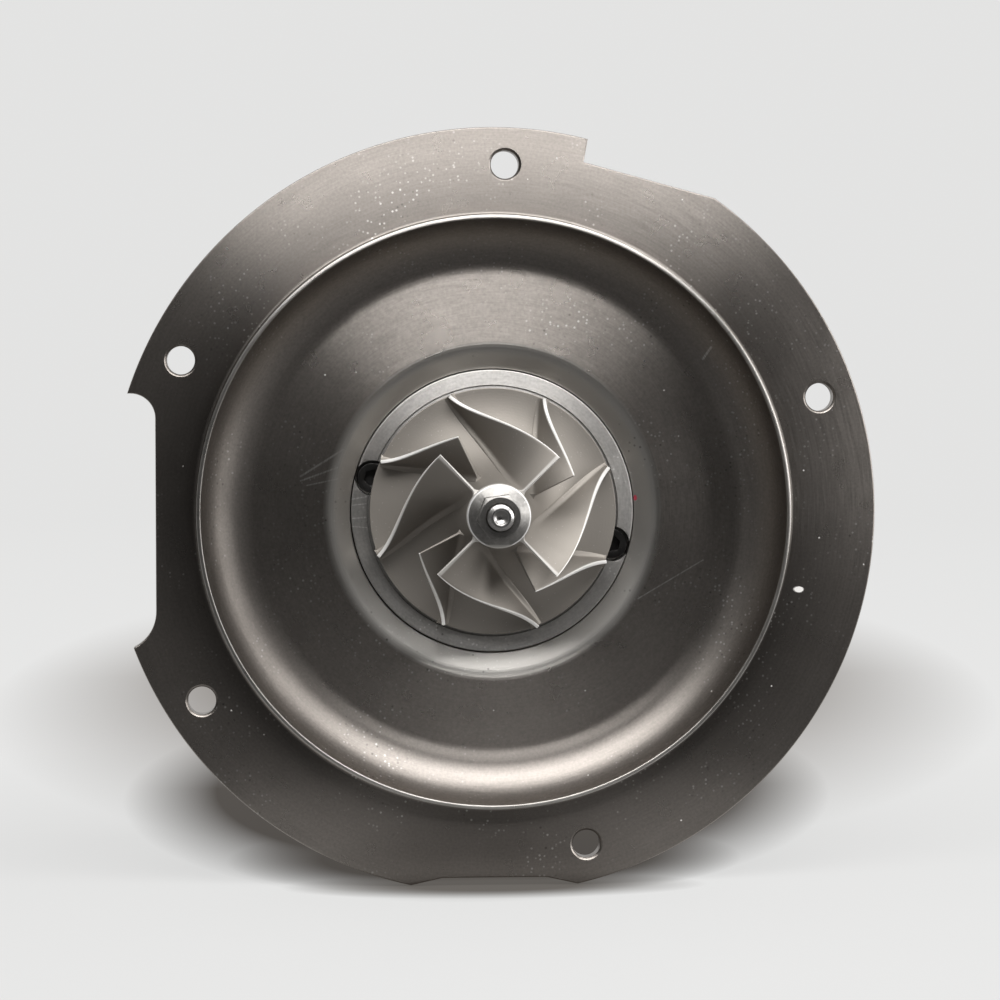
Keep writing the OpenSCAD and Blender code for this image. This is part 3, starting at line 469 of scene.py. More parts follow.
# Metal turned on a lathe: lobes lean across the fine cut, so that highlights fan out from the shaft.
def turnedMetal(name, look):
    g = turnedMarksAndShade
    finish = Finish(name)
    place = finish.place()
    x, y, z = finish.split(place)
    radius = finish.length(x, z) + 1e-6
    along = (radius - g["slope"] * y) / mm
    swept = finish.vector(x / radius * look["arcs"], along * look["lines"], z / radius * look["arcs"])
    brush = finish.cloud(swept, 1.0, 3.0) - 0.5
    grain = finish.cloud(place, g["grain"], 2.0) - 0.5
    blotch = finish.cloud(place, g["blotch"], 4.0)
    grime = finish.cloud(place, g["grime"], 5.0)
    crowd = finish.ramp(finish.cloud(place, g["crowd"], 3.0), *g["crowdFrom"])
    fleck = finish.specks(place, *g["fleck"]) * crowd
    pit = finish.specks(finish.vectorMath("ADD", place, g["pitShift"]), *g["pit"]) * crowd
    dust = finish.specks(place, *g["dust"])
    tone = finish.mix(blotch, look["dark"], look["light"])
    tone = finish.vectorMath("SCALE", tone, None, 1.0 + look["streak"] * brush + g["grainCover"] * grain)
    tilt = brush * look["lineTilt"]
    # Painted shade: the flange is painted darker beside the rim and fades out towards its edge.
    if "seat" in look:
        inner, outer, cover = look["seat"]
        unshaded = finish.ramp(radius, inner * mm, outer * mm)
        paintedShade = (radius > inner * mm) * (1.0 - unshaded) * cover
        tone = finish.mix(paintedShade, tone, scaled(look["dark"], g["rimShadeTone"]))
    # Painted highlight: the lip inside its outer r is painted lighter all round, and its lobes also lean by
    # lean.
    if "lip" in look:
        outer, inner, cover, lean = look["lip"]
        paintedLipLight = finish.ramp(radius, outer * mm, inner * mm)
        tone = finish.mix(paintedLipLight * cover, tone, look["crestTone"])
        tilt = tilt + paintedLipLight * lean
    tone = finish.mix(fleck * g["fleckCover"], tone, look["fleck"])
    tone = finish.mix(pit * g["pitCover"], tone, scaled(look["dark"], g["pitTone"]))
    tone = finish.mix(dust * g["dustCover"], tone, g["dustTone"])
    bare = dust
    # Painted highlight: a thin ring between the edge's radii is painted light, and made rougher and less
    # metallic.
    if "edge" in look:
        inner, outer = look["edge"]
        edgeHighlight = finish.ramp(radius, inner * mm, outer * mm)
        tone = finish.mix(edgeHighlight, tone, look["fleck"])
        bare = bare + g["edgeBare"] * edgeHighlight
    # Painted highlight: faces more than crest mm in front of the flange, the rim's land, are painted lighter,
    # patchy with the grime noise.
    if "crest" in look:
        crest = finish.ramp(y / -mm, look["crest"], look["crest"] + g["crestRise"])
        crest = crest * (g["crestLeast"] + (1.0 - g["crestLeast"]) * grime)
        tone = finish.mix(crest, tone, look["crestTone"])
    for mark in look.get("scratches", ()):
        line = finish.scratch(x, z, mark) * (y < mark[5] * mm) * (g["scratchLeast"] + brush)
        tone = finish.mix(line, tone, look["fleck"])
    for dab in look.get("dabs", ()):
        mask = finish.dab(x, z, dab, grime - 0.5) * (y < dab["front"] * mm)
        tone = finish.mix(mask, tone, dab["tone"])
        bare = bare + mask
    cut = finish.vector(z * -1.0 / radius, 0.0, x / radius)
    toWorld = {"vector_type": "VECTOR", "convert_from": "OBJECT", "convert_to": "WORLD"}
    cut = finish.node("ShaderNodeVectorTransform", toWorld, {0: cut})
    flat = finish.node("ShaderNodeNewGeometry", out="Normal")
    across = finish.vectorMath("CROSS_PRODUCT", cut, flat)
    facing = finish.node("ShaderNodeMath", {"operation": "ABSOLUTE"}, {0: finish.split(flat)[1]})
    facing = finish.ramp(facing, *g["facing"])
    spread = look["groove"] * (look["sideSpread"] + (1.0 - look["sideSpread"]) * facing)
    rough = look["rough"] + g["sideRough"] * (1.0 - facing) + g["grimeRough"] * (grime - 0.5) * look["grime"]
    rough = rough + g["bareRough"] * bare
    metal = 1.0 - g["bareDull"] * bare
    lobes = []
    for side in (-1.0, 1.0, 0.0):
        lean = finish.vectorMath("SCALE", across, None, tilt + side * spread)
        normal = finish.vectorMath("NORMALIZE", finish.vectorMath("ADD", flat, lean), None)
        lobes.append(finish.lobe(color=tone, roughness=rough, metallic=metal, normal=normal))
    return finish.show(finish.join(look["core"], finish.join(0.5, lobes[0], lobes[1]), lobes[2]))


# What all milled and cast metals share; a spot is (share of the grain's scale, size, share of cells).
# Blade tips and leading edges are painted lighter, a painted highlight: tips near the shroud's ellipse,
# leading edges near its top.
grainSkin = {"detail": 4.0, "spot": (0.6, 0.25, 0.15), "spotCover": 0.4, "tip": (1.03, 1.012),
             "lead": (0.35, 0.15), "leadCover": 0.5, "highlightDull": 0.75, "bumpDepth": 0.0002, "patchRough": 0.12}


# Milled or cast metal: a soft grain, darker in patches
def grainMetal(name, look):
    g = grainSkin
    finish = Finish(name)
    place = finish.place()
    grain = finish.node("ShaderNodeTexNoise", None,
                        {"Vector": place, "Scale": look["grain"], "Detail": g["detail"]})
    patch = finish.cloud(place, look["patch"], 3.0)
    spotScale, spotSize, spotShare = g["spot"]
    spot = finish.specks(place, look["grain"] * spotScale, spotSize, spotShare)
    tone = finish.mix(patch, look["dark"], look["light"])
    tone = finish.mix(spot * g["spotCover"], tone, look["spot"])
    metal = look["metal"]
    # Painted highlight: blade tips and leading edges are painted lighter and less metallic.
    if "shroud" in look:
        x, y, z = finish.split(place)
        centreR, centreZ, halfR, halfZ = look["shroud"]
        offR = (centreR * mm - finish.length(x, z)) / (halfR * mm)
        offZ = (centreZ * mm + y) / (halfZ * mm)
        tip = finish.ramp(finish.length(offR, offZ), *g["tip"])
        lead = finish.ramp(y / -mm, centreZ - g["lead"][0], centreZ - g["lead"][1])
        cut = finish.node("ShaderNodeMath", {"operation": "MAXIMUM"}, {0: tip, 1: lead * g["leadCover"]})
        tone = finish.mix(cut, tone, look["cut"])
        metal = metal * (1.0 - g["highlightDull"] * cut)
    bump = finish.node("ShaderNodeBump", None,
                       {"Strength": look["bump"], "Distance": g["bumpDepth"], "Height": grain})
    rough = look["rough"] + g["patchRough"] * patch
    return finish.show(finish.lobe(color=tone, roughness=rough, metallic=metal, normal=bump))


# Finishes. A seat is (inner r, outer r, cover) of painted shade beside the rim, a lip (outer r, inner r,
# cover, lean) with a painted highlight, an edge (inner r, outer r) of painted highlight, a scratch (x, up, x,
# up, width, how far back it shows) and a shroud (centre r, centre z, radial half axis, axial half axis), as
# the wheel's tip arc has them.
turnedBase = {"sideSpread": 0.3, "core": 0.4, "lines": 4.0, "arcs": 6.0, "lineTilt": 0.08, "streak": 0.2,
              "grime": 0.8}
looks = {
    "turnedSteel": {**turnedBase, "groove": 0.36, "core": 0.34, "lines": 3.4, "arcs": 10.0, "lineTilt": 0.045,
                    "streak": 0.14, "rough": 0.28, "grime": 0.3, "seat": (58.4, 71.0, 0.60),
                    "dark": (0.248, 0.225, 0.205), "light": (0.264, 0.240, 0.219),
                    "fleck": (0.62, 0.60, 0.57), "crest": 2.55, "crestTone": (0.52, 0.50, 0.47),
                    "lip": (33.6, 32.2, 0.95, 0.06),
                    "scratches": [(28.7, -17.4, 41.6, -9.8, 0.16, 5.6), (-37.8, 7.0, -29.5, 12.2, 0.26, 5.6),
                                  (-37.8, 6.1, -30.6, 8.7, 0.24, 5.6), (-36.6, 5.2, -29.8, 6.6, 0.18, 5.6),
                                  (41.4, 30.0, 42.8, 32.3, 0.32, 5.6)],
                    "dabs": [{"spot": (60.1, -15.3), "half": (1.45, 0.85), "ragged": 1.3, "front": 2.0,
                              "tone": (0.86, 0.84, 0.81)},
                             {"spot": (28.35, 2.5), "half": (0.35, 0.6), "ragged": 0.6, "front": 8.0,
                              "tone": (0.30, 0.03, 0.05)}]},
    "sealAluminium": {**turnedBase, "groove": 0.42, "core": 0.34, "lines": 2.6, "arcs": 14.0,
                      "lineTilt": 0.07, "streak": 0.16, "rough": 0.42, "grime": 0.5,
                      "dark": (0.40, 0.385, 0.37), "light": (0.45, 0.435, 0.415), "fleck": (0.75, 0.74, 0.72),
                      "scratches": [(-27.7, 2.4, -24.8, 2.9, 0.2, 7.4), (-27.7, 1.2, -24.9, 1.5, 0.16, 7.4),
                                    (-27.6, -1.4, -25.0, -1.2, 0.2, 7.4),
                                    (-27.6, -3.0, -24.9, -3.2, 0.16, 7.4)]},
    "brightSteel": {**turnedBase, "groove": 0.12, "rough": 0.38, "edge": (5.8, 5.95),
                    "dark": (0.24, 0.23, 0.218), "light": (0.29, 0.28, 0.267), "fleck": (0.74, 0.73, 0.72)},
    "groundSteel": {**turnedBase, "groove": 0.18, "rough": 0.26, "grime": 0.6,
                    "dark": (0.46, 0.445, 0.43), "light": (0.54, 0.525, 0.51), "fleck": (0.7, 0.69, 0.68)},
    "bushBronze": {**turnedBase, "groove": 0.2, "rough": 0.32,
                   "dark": (0.42, 0.27, 0.11), "light": (0.52, 0.35, 0.16), "fleck": (0.7, 0.55, 0.3)},
    "springSteel": {**turnedBase, "groove": 0.15, "rough": 0.34,
                    "dark": (0.16, 0.155, 0.15), "light": (0.22, 0.215, 0.21), "fleck": (0.4, 0.4, 0.4)},
    "wheelAluminium": {"grain": 2600.0, "patch": 60.0, "bump": 0.08, "rough": 0.54, "metal": 0.8,
                       "shroud": (24.3, 12.9, 8.1, 15.1), "cut": (0.66, 0.645, 0.62),
                       "dark": (0.262, 0.240, 0.214), "light": (0.300, 0.276, 0.248),
                       "spot": (0.46, 0.44, 0.41)},
    # Socket screws: black steel, made darker still as painted shade for the pockets they sit in.
    "blackSteel": {"grain": 3000.0, "patch": 200.0, "bump": 0.10, "rough": 0.36, "metal": 1.0,
                   "dark": (0.035, 0.033, 0.032), "light": (0.06, 0.058, 0.056), "spot": (0.20, 0.19, 0.18)},
    "boltSteel": {"grain": 2600.0, "patch": 160.0, "bump": 0.10, "rough": 0.34, "metal": 1.0,
                  "dark": (0.27, 0.262, 0.25), "light": (0.38, 0.37, 0.355), "spot": (0.5, 0.49, 0.47)},
    "castIron": {"grain": 1500.0, "patch": 75.0, "bump": 0.75, "rough": 0.50, "metal": 0.85,
                 "dark": (0.125, 0.113, 0.103), "light": (0.20, 0.185, 0.170), "spot": (0.30, 0.28, 0.26)},
    "heatSteel": {"grain": 1800.0, "patch": 90.0, "bump": 0.15, "rough": 0.36, "metal": 1.0,
                  "dark": (0.33, 0.28, 0.22), "light": (0.42, 0.37, 0.31), "spot": (0.30, 0.26, 0.30)},
    "turbineAlloy": {"grain": 1700.0, "patch": 80.0, "bump": 0.35, "rough": 0.42, "metal": 1.0,
                     "dark": (0.26, 0.235, 0.205), "light": (0.36, 0.335, 0.305), "spot": (0.45, 0.42, 0.40)},
    "sealRubber": {"grain": 2200.0, "patch": 120.0, "bump": 0.10, "rough": 0.55, "metal": 0.0,
                   "dark": (0.012, 0.012, 0.012), "light": (0.022, 0.022, 0.022), "spot": (0.05, 0.05, 0.05)},
}
finishes = {}
for name, look in looks.items():
    finishes[name] = turnedMetal(name, look) if "groove" in look else grainMetal(name, look)
print("finishes made:", len(finishes))


def dress(piece, finish):
    piece.data.materials.clear()
    piece.data.materials.append(finishes[finish])
    return piece


# A finished piece stands for its CAD node and rides on that node's body.
def fit(piece, node, body):
    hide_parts(node)
    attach(piece, body)


# Camera: 600 mm off, a little left of the shaft and above it, as in the photograph.
cameraLook = {"distance": 600.0, "left": 3.6, "up": 2.65, "focalPixels": 3071.0,
              "axisPixel": (494.6, 512.6), "imageSize": 1000.0, "sensor": 36.0}


def makeCamera():
    side, lift = math.radians(cameraLook["left"]), math.radians(cameraLook["up"])
    back = Vector((-math.sin(side) * math.cos(lift), -math.cos(side) * math.cos(lift), math.sin(lift)))
    data = bpy.data.cameras.new("camera")
    data.sensor_width = cameraLook["sensor"]
    data.lens = cameraLook["focalPixels"] / cameraLook["imageSize"] * cameraLook["sensor"]
    data.clip_start, data.clip_end = 0.01, 100
    camera = bpy.data.objects.new("camera", data)
    bpy.context.scene.collection.objects.link(camera)
    turn = (-back).to_track_quat("-Z", "Y")
    perPixel = cameraLook["distance"] / cameraLook["focalPixels"] * mm
    middle = cameraLook["imageSize"] / 2
    right = (middle - cameraLook["axisPixel"][0]) * perPixel
    up = (cameraLook["axisPixel"][1] - middle) * perPixel
    camera.location = back * cameraLook["distance"] * mm + turn @ Vector((right, up, 0))
    camera.rotation_mode = "QUATERNION"
    camera.rotation_quaternion = turn
    bpy.context.scene.camera = camera


makeCamera()

# Stage in metres: a pale floor that runs out into a pale room, dark cards on the camera's side and two lamps.
# A painted shadow is a soft shade painted on the floor behind the flange: its middle and half sizes (across,
# back), the shares of those halves where it starts and is full, its tone, and the depths where it has faded
# out and is whole.
# A card has its two lower corners first, then its two upper ones.
stage = {"floorReach": 6.0, "pale": (0.77, 0.77, 0.765), "gap": 0.0002, "glowShare": 0.76, "litTone": 0.48,
         "nearReach": 0.10, "farReach": 0.24, "lift": 1.045, "liftReach": 1.4, "matt": 0.9,
         "paperGrain": (30.0, 4.0), "paperDip": 0.985, "shadowLean": 0.063,
         "paintedShadows": [{"middle": (0.0, 0.45), "half": (0.16, 0.42), "edge": (1.0, 0.60),
                    "tone": (0.46, 0.435, 0.415), "fade": (0.75, 0.40)},
                   {"middle": (-0.004, 0.161), "half": (0.080, 0.168), "edge": (1.07, 0.80),
                    "tone": (0.13, 0.118, 0.108), "fade": (0.34, 0.14)},
                   {"middle": (-0.002, 0.035), "half": (0.052, 0.045), "edge": (1.03, 0.65),
                    "tone": (0.13, 0.118, 0.108), "fade": (1.0, 0.9)},
                   {"middle": (0.0, 0.0), "half": (0.040, 0.014), "edge": (1.05, 0.40),
                    "tone": (0.20, 0.185, 0.17), "fade": (1.0, 0.9)}],
         "cardTone": (0.08, 0.08, 0.08), "cardGrain": (20.0, 2.0), "cardDip": 0.95, "cardTop": 1.6,
         "cards": {"frontCard": [(-1.6, -1.1), (1.6, -1.1), (1.6, -0.9), (-1.6, -0.9)],
                   "leftCard": [(-1.0, -1.1), (-1.0, 0.1), (-0.9, 0.1), (-0.9, -1.1)],
                   "rightCard": [(1.0, -1.1), (1.0, -0.1), (0.9, -0.1), (0.9, -1.1)]},
         "floorCard": [(-1.0, -1.1), (1.0, -1.1), (1.0, -0.022), (-1.0, -0.022)],
         "lamps": {"softbox": {"place": (0.03, -0.28, 0.40), "size": (0.72, 0.24), "power": 4.5},
                   "sideFill": {"place": (0.58, -0.19, 0.12), "size": (0.22, 0.40), "power": 2.3}}}


def stageSheet(name, corners):
    mesh = bpy.data.meshes.new(name)
    mesh.from_pydata(corners, [], [(0, 1, 2, 3)])
    sheet = bpy.data.objects.new(name, mesh)
    bpy.context.scene.collection.objects.link(sheet)
    return sheet


def floorPaper():
    finish = Finish("floorPaper")
    place = finish.place()
    x, y, z = finish.split(place)
    away = finish.length(x, y)
    far = finish.ramp(away, stage["nearReach"], stage["farReach"])
    near = finish.ramp(away, stage["liftReach"], stage["farReach"])
    grain = finish.cloud(place, *stage["paperGrain"])
    paper = finish.mix(grain, scaled(stage["pale"], stage["paperDip"]), stage["pale"])
    # Painted light: the floor's glow is painted brighter near the part and fades back to pale by liftReach.
    bright = finish.mix(near, stage["pale"], scaled(stage["pale"], stage["lift"]))
    # Painted shadow: each patch darkens the floor's colour and glow behind the flange, where the flange's
    # shadow falls, leaning to the right as it goes back.
    for shadowPatch in stage["paintedShadows"]:
        offX = (x - y * stage["shadowLean"] - shadowPatch["middle"][0]) / shadowPatch["half"][0]
        offY = (y - shadowPatch["middle"][1]) / shadowPatch["half"][1]
        cover = finish.ramp(finish.length(offX, offY), *shadowPatch["edge"]) * finish.ramp(y, *shadowPatch["fade"])
        shade = tuple(c * s for c, s in zip(stage["pale"], shadowPatch["tone"]))
        paper = finish.mix(cover, paper, shade)
        bright = finish.mix(cover, bright, shade)
    tone = finish.vectorMath("SCALE", paper, None, stage["litTone"] / stage["pale"][0])
    lit = finish.lobe(color=tone, roughness=stage["matt"], specular=0.0)
    glow = finish.node("ShaderNodeEmission", None, {"Color": bright, "Strength": 1.0})
    share = stage["glowShare"] + (1.0 - stage["glowShare"]) * far
    return finish.show(finish.join(share, lit, glow))


def makeFloor():
    level, reach = cadLow.z - stage["gap"], stage["floorReach"]
    ring = [(-reach, -reach), (reach, -reach), (reach, reach), (-reach, reach)]
    floor = stageSheet("floor", [(x, y, level) for x, y in ring])
    floor.data.materials.append(floorPaper())


def makeCard(name, ring, top):
    heights = (cadLow.z, cadLow.z, top, top)
    card = stageSheet(name, [(x, y, z) for (x, y), z in zip(ring, heights)])
    finish = Finish(name + "Paint")
    grain = finish.cloud(finish.place(), *stage["cardGrain"])
    color = finish.mix(grain, scaled(stage["cardTone"], stage["cardDip"]), stage["cardTone"])
    card.data.materials.append(finish.show(finish.lobe(color=color, roughness=stage["matt"], specular=0.0)))
    card.visible_camera = False
    return card


def makeLamp(name, look, blockers):
    data = bpy.data.lights.new(name, "AREA")
    data.shape = "RECTANGLE"
    data.size, data.size_y = look["size"]
    data.energy = look["power"]
    lamp = bpy.data.objects.new(name, data)
    lamp.location = look["place"]
    lamp.rotation_mode = "QUATERNION"
    lamp.rotation_quaternion = (-Vector(look["place"])).to_track_quat("-Z", "Y")
    lamp.visible_camera = False
    lamp.light_linking.blocker_collection = blockers
    bpy.context.scene.collection.objects.link(lamp)


def makeRoom():
    world = bpy.data.worlds.new("room")
    bpy.context.scene.world = world
    world.use_nodes = True
    glow = world.node_tree.nodes["Background"]
    glow.inputs["Color"].default_value = (*stage["pale"], 1)
    glow.inputs["Strength"].default_value = 1.0


makeFloor()
makeRoom()
for name, ring in stage["cards"].items():
    makeCard(name, ring, stage["cardTop"])
# The floor card darkens reflections and casts no shadow.
floorCard = makeCard("floorCard", stage["floorCard"], cadLow.z)
floorCard.visible_diffuse = False
shadowless = bpy.data.collections.new("shadowless")
shadowless.objects.link(floorCard)
shadowless.collection_objects[0].light_linking.link_state = "EXCLUDE"
for name, look in stage["lamps"].items():
    makeLamp(name, look, shadowless)
bpy.context.scene.view_settings.view_transform = "Standard"
print("camera and stage made")

# Compressor backplate: a flanged dish, turned all over
plate = {"flangeR": 75.0, "flangeT": 4.0, "coverR": 67.8, "holeR": 2.75,
         "holeAngles": (19.4, 88.3, 154, 212.6, 285.5), "holeMouth": 0.5, "edge": 0.28,
         "leftFlat": 65.9, "leftTop": 18.5, "leftBottom": 19.0, "leftTopR": 4.8, "leftBottomR": 8.0,
         "bottomFlat": 71.8, "bottomHalf": 10.2, "rampHalf": 16.4,
         "stepX": 17.4, "stepY": 68.3, "stepLean": 0.8, "stepEnd": 54.9,
         "rimR": 58.0, "rimH": 3.0, "rimLand": 0.8, "rimFillet": 0.8, "floorZ": -5.0, "floorR": 46.5,
         "wallT": 4.0, "lipW": 4.0, "lipDrop": 2.3, "lipFillet": 5.0, "bossR": 42.0, "seatZ": -13.0,
         "boreR": 28.1, "lipEdge": 0.2, "rimEdge": 0.3, "wallStop": 2.0, "rootTop": -1.5, "rootLow": -3.0,
         "rootIn": 0.4, "bossFillet": 0.6, "bossEdge": 0.4, "boreEdge": 0.3, "wellLap": 0.9, "hookGap": 0.3}


def circleAngle(x, y):
    return math.degrees(math.atan2(y, x)) % 360


# The flange's outline, anticlockwise from the right
def flangeOutline(p):
    r = p["flangeR"]
    stepTop = math.sqrt(r * r - (p["stepX"] + p["stepLean"]) ** 2)
    upper = p["leftTop"] + p["leftTopR"]
    rampY = math.sqrt(r * r - p["rampHalf"] ** 2)
    made = arc((0, 0), r, 0, p["stepEnd"], 56)
    made += [(p["stepX"], p["stepY"])]
    made += arc((0, 0), r, circleAngle(p["stepX"] + p["stepLean"], stepTop),
                circleAngle(-math.sqrt(r * r - upper ** 2), upper), 96)
    made += arc((-p["leftFlat"] - p["leftTopR"], p["leftTop"]), p["leftTopR"], 90, 0, 14)
    hook = arc((-p["leftFlat"] - p["leftBottomR"], -p["leftBottom"]), p["leftBottomR"], 0, -90, 90)
    hook = [point for point in hook if math.hypot(*point) < r]
    made += hook[::5] + [hook[-1]]
    made += arc((0, 0), r, circleAngle(*hook[-1]) + p["hookGap"], circleAngle(-p["rampHalf"], -rampY), 60)
    made += [(-p["bottomHalf"], -p["bottomFlat"]), (p["bottomHalf"], -p["bottomFlat"])]
    made += arc((0, 0), r, circleAngle(p["rampHalf"], -rampY), 360, 84)[:-1]
    return made


# The dish's section: lip, curved wall, rim, and its back down to the boss
def dishOutline(p):
    rise = p["rimH"] - p["floorZ"]
    width = p["rimR"] - p["rimLand"] - p["floorR"]
    wallR = (width ** 2 + rise ** 2) / (2 * rise)
    middle = (p["floorR"], p["floorZ"] + wallR)
    top = math.degrees(math.asin((p["rimH"] - middle[1]) / wallR))
    backR = wallR + p["wallT"]
    backTop = math.degrees(math.asin((-p["flangeT"] - middle[1]) / backR))
    back = p["floorZ"] - p["wallT"]
    f = p["rimFillet"]
    corners = [(p["boreR"], p["floorZ"] - p["lipDrop"], p["lipEdge"]),
               (p["boreR"] + p["lipW"], p["floorZ"], p["lipFillet"])]
    corners += kept(arc(middle, wallR, -90, top - p["wallStop"], 36))
    corners += [(p["rimR"] - p["rimLand"], p["rimH"], p["rimEdge"]), (p["rimR"], p["rimH"], p["rimEdge"])]
    corners += kept(arc((p["rimR"] + f, f), f, 180, 268, 8))
    corners += [(p["rimR"] + f, p["rootTop"], 0), (p["rimR"] - p["rootIn"], p["rootLow"], 0)]
    corners += kept(arc(middle, backR, backTop, -90, 24))
    corners += [(p["bossR"], back, p["bossFillet"]), (p["bossR"], p["seatZ"], p["bossEdge"]),
                (p["boreR"], p["seatZ"], p["boreEdge"])]
    return softened(corners, 0)


def makePlate(p):
    holes = [arc(polar(p["coverR"], a), p["holeR"], 360, 0, 48)[:-1] for a in p["holeAngles"]]
    well = arc((0, 0), p["rimR"] - p["wellLap"], 360, 0, 192)[:-1]
    mouths = [0, 0] + [p["holeMouth"]] * len(holes)
    piece = cutSheet("backplate", [flangeOutline(p), well] + holes, 0.0, -p["flangeT"], p["edge"], mouths)
    combine(piece, [lathe("dish", dishOutline(p), 384)], "UNION")
    dress(polish(piece), "turnedSteel")
    fit(piece, "compressor_backplate", "housing")


makePlate(plate)
print("backplate made")

# Seal plate: a turned disc let into the backplate, with a pocket for each screw
sealPlate = {"outerR": 27.9, "recessR": 24.8, "bossR": 9.5, "boreR": 6.06, "cavityR": 9.5, "faceZ": -6.7,
             "recessZ": -6.9, "bossZ": -8.3, "cavityZ": -11.5, "seatZ": plate["seatZ"], "edge": 0.3,
             "recessEdge": 0.1, "bevel": 0.15,
             "pocketR": 3.5, "pocketD": 2.9, "screwCircle": 24.6, "screwAngle": 164.5, "screwHoleR": 2.25}


def screwSpots(p):
    return [polar(p["screwCircle"], p["screwAngle"] + turn) for turn in (0, 180)]


def makeSealPlate(p):
    corners = [(p["outerR"], p["seatZ"]), (p["outerR"], p["faceZ"]),
               (p["recessR"], p["faceZ"], p["recessEdge"]), (p["recessR"], p["recessZ"], p["recessEdge"]),
               (p["bossR"], p["recessZ"]), (p["bossR"], p["bossZ"]), (p["boreR"], p["bossZ"]),
               (p["boreR"], p["cavityZ"]), (p["cavityR"], p["cavityZ"]), (p["cavityR"], p["seatZ"])]
    piece = lathe("sealPlate", softened(corners, p["edge"]))
    cuts = []
    for spot in screwSpots(p):
        cuts.append(drum("pocket", spot, p["pocketR"], p["faceZ"] + past, p["faceZ"] - p["pocketD"], 72))
        cuts.append(drum("screwHole", spot, p["screwHoleR"], p["faceZ"], p["seatZ"] - past))
    combine(piece, cuts, "DIFFERENCE")
    dress(polish(piece, p["bevel"]), "sealAluminium")
    fit(piece, "seal_plate", "housing")


# Seal plate screws: socket heads down in the pockets
sealScrew = {"headR": 3.0, "headH": 2.4, "shankR": 2.0, "length": 10.0, "socket": 3.0,
             "seatZ": sealPlate["faceZ"] - sealPlate["pocketD"], "edge": 0.25, "neckEdge": 0.1, "bevel": 0.08}


def makeSealScrews(p):
    top = p["seatZ"] + p["headH"]
    corners = [(0, p["seatZ"] - p["length"], 0), (p["shankR"], p["seatZ"] - p["length"]),
               (p["shankR"], p["seatZ"], p["neckEdge"]), (p["headR"], p["seatZ"]), (p["headR"], top),
               (0, top, 0)]
    piece = lathe("sealScrews", softened(corners, p["edge"]), 72)
    combine(piece, [hexBar("socket", p["socket"], top + past, top - p["headH"] / 2)], "DIFFERENCE")
    polish(piece, p["bevel"])
    piece.data.transform(Matrix.Translation((sealPlate["screwCircle"] * mm, 0, 0)))
    around(piece, 2, sealPlate["screwAngle"], finishes["blackSteel"])
    fit(piece, "seal_plate_screws", "housing")


makeSealPlate(sealPlate)
makeSealScrews(sealScrew)
print("seal plate made")

# Compressor wheel: a bored hub with full blades and splitters between them.
# A blade runs between a root arc and a tip arc, (centre r, centre z, radial half axis, axial half axis).
wheel = {"outerR": 24.3, "noseR": 6.2, "hubTop": 12.9, "noseZ": 13.7, "discZ": -6.2, "exitZ": -5.2,
         "bossR": 9.0, "backZ": -7.6, "boreR": 2.52, "inletR": 16.2, "outletB": 3.0, "sink": 0.4,
         "count": 4, "start": 43.5, "wrap": 67.5, "sweep": 0.25, "lead": 2.2, "splitterStart": 0.25,
         "rootT": 1.0, "tipT": 0.65, "fillet": 0.75, "edgeShare": 0.12, "edgeLeft": 0.5,
         "edge": 0.15, "bossFillet": 0.6, "noseEdge": 0.4}
turbine = {"outerR": 22.0, "discR": 19.0, "backZ": -63.15, "discT": 1.5, "exitZ": -77.85, "hubR": 5.8,
           "exitR": 18.2, "inletB": 6.5, "sink": 0.4, "count": 11, "wrap": -46.0, "sweep": 0.0, "lead": 2.4,
           "rootT": 1.3, "tipT": 0.7, "fillet": 1.0, "edgeShare": 0.12, "edgeLeft": 0.5,
           "hexFlats": 8.0, "hexLength": 4.0, "taperL": 2.2, "taperShare": 0.48,
           "edge": 0.2, "hubEdge": 0.5, "discEdge": 0.3, "bevel": 0.2}
bladeMesh = {"strips": 64, "spans": 20, "crowding": 1.35, "filletReach": 1.2, "filletShare": 0.8,
             "edgeShare": 0.2, "sharp": 50, "step": 1e-4}


# The two sides of a blade, as grids of points from the inlet to the outlet and from the root to the tip
def bladeGrid(p, root, tip, start):
    run = np.linspace(0, 1, bladeMesh["strips"] + 1)[:, None]
    rise = np.linspace(0, 1, bladeMesh["spans"] + 1)[None, :] ** bladeMesh["crowding"]

    def camber(s, f):
        quarter = math.pi / 2 * s
        r = (root[0] - root[2] * np.cos(quarter)) * (1 - f) + (tip[0] - tip[2] * np.cos(quarter)) * f
        z = (root[1] - root[3] * np.sin(quarter)) * (1 - f) + (tip[1] - tip[3] * np.sin(quarter)) * f
        early = 1 - np.maximum(0, 1 - s) ** p["lead"]
        turn = np.radians(p["wrap"]) * (p["sweep"] * s + (1 - p["sweep"]) * early)
        return np.stack((r * np.cos(turn), r * np.sin(turn), z + 0 * turn * f), -1)

    s = start + (1 - start) * run
    step = bladeMesh["step"]
    low = np.minimum(s, 1 - step)
    middle = camber(s, rise)
    along = camber(low + step, rise) - camber(low, rise)
    across = camber(s, rise + step) - middle
    normal = np.cross(along, across)
    normal /= np.linalg.norm(normal, axis=2)[:, :, None]
    thin = p["edgeLeft"] + (1 - p["edgeLeft"]) * np.minimum(1, run / p["edgeShare"])
    half = (p["rootT"] * (1 - rise) + p["tipT"] * rise) / 2 * thin
    height = np.linalg.norm(middle - camber(s, 0 * rise), axis=2) - p["sink"]
    foot = np.clip(1 - height / p["fillet"], 0, bladeMesh["filletReach"]) ** 2
    half = half + p["fillet"] * foot * bladeMesh["filletShare"]
    return middle + half[:, :, None] * normal, middle - half[:, :, None] * normal


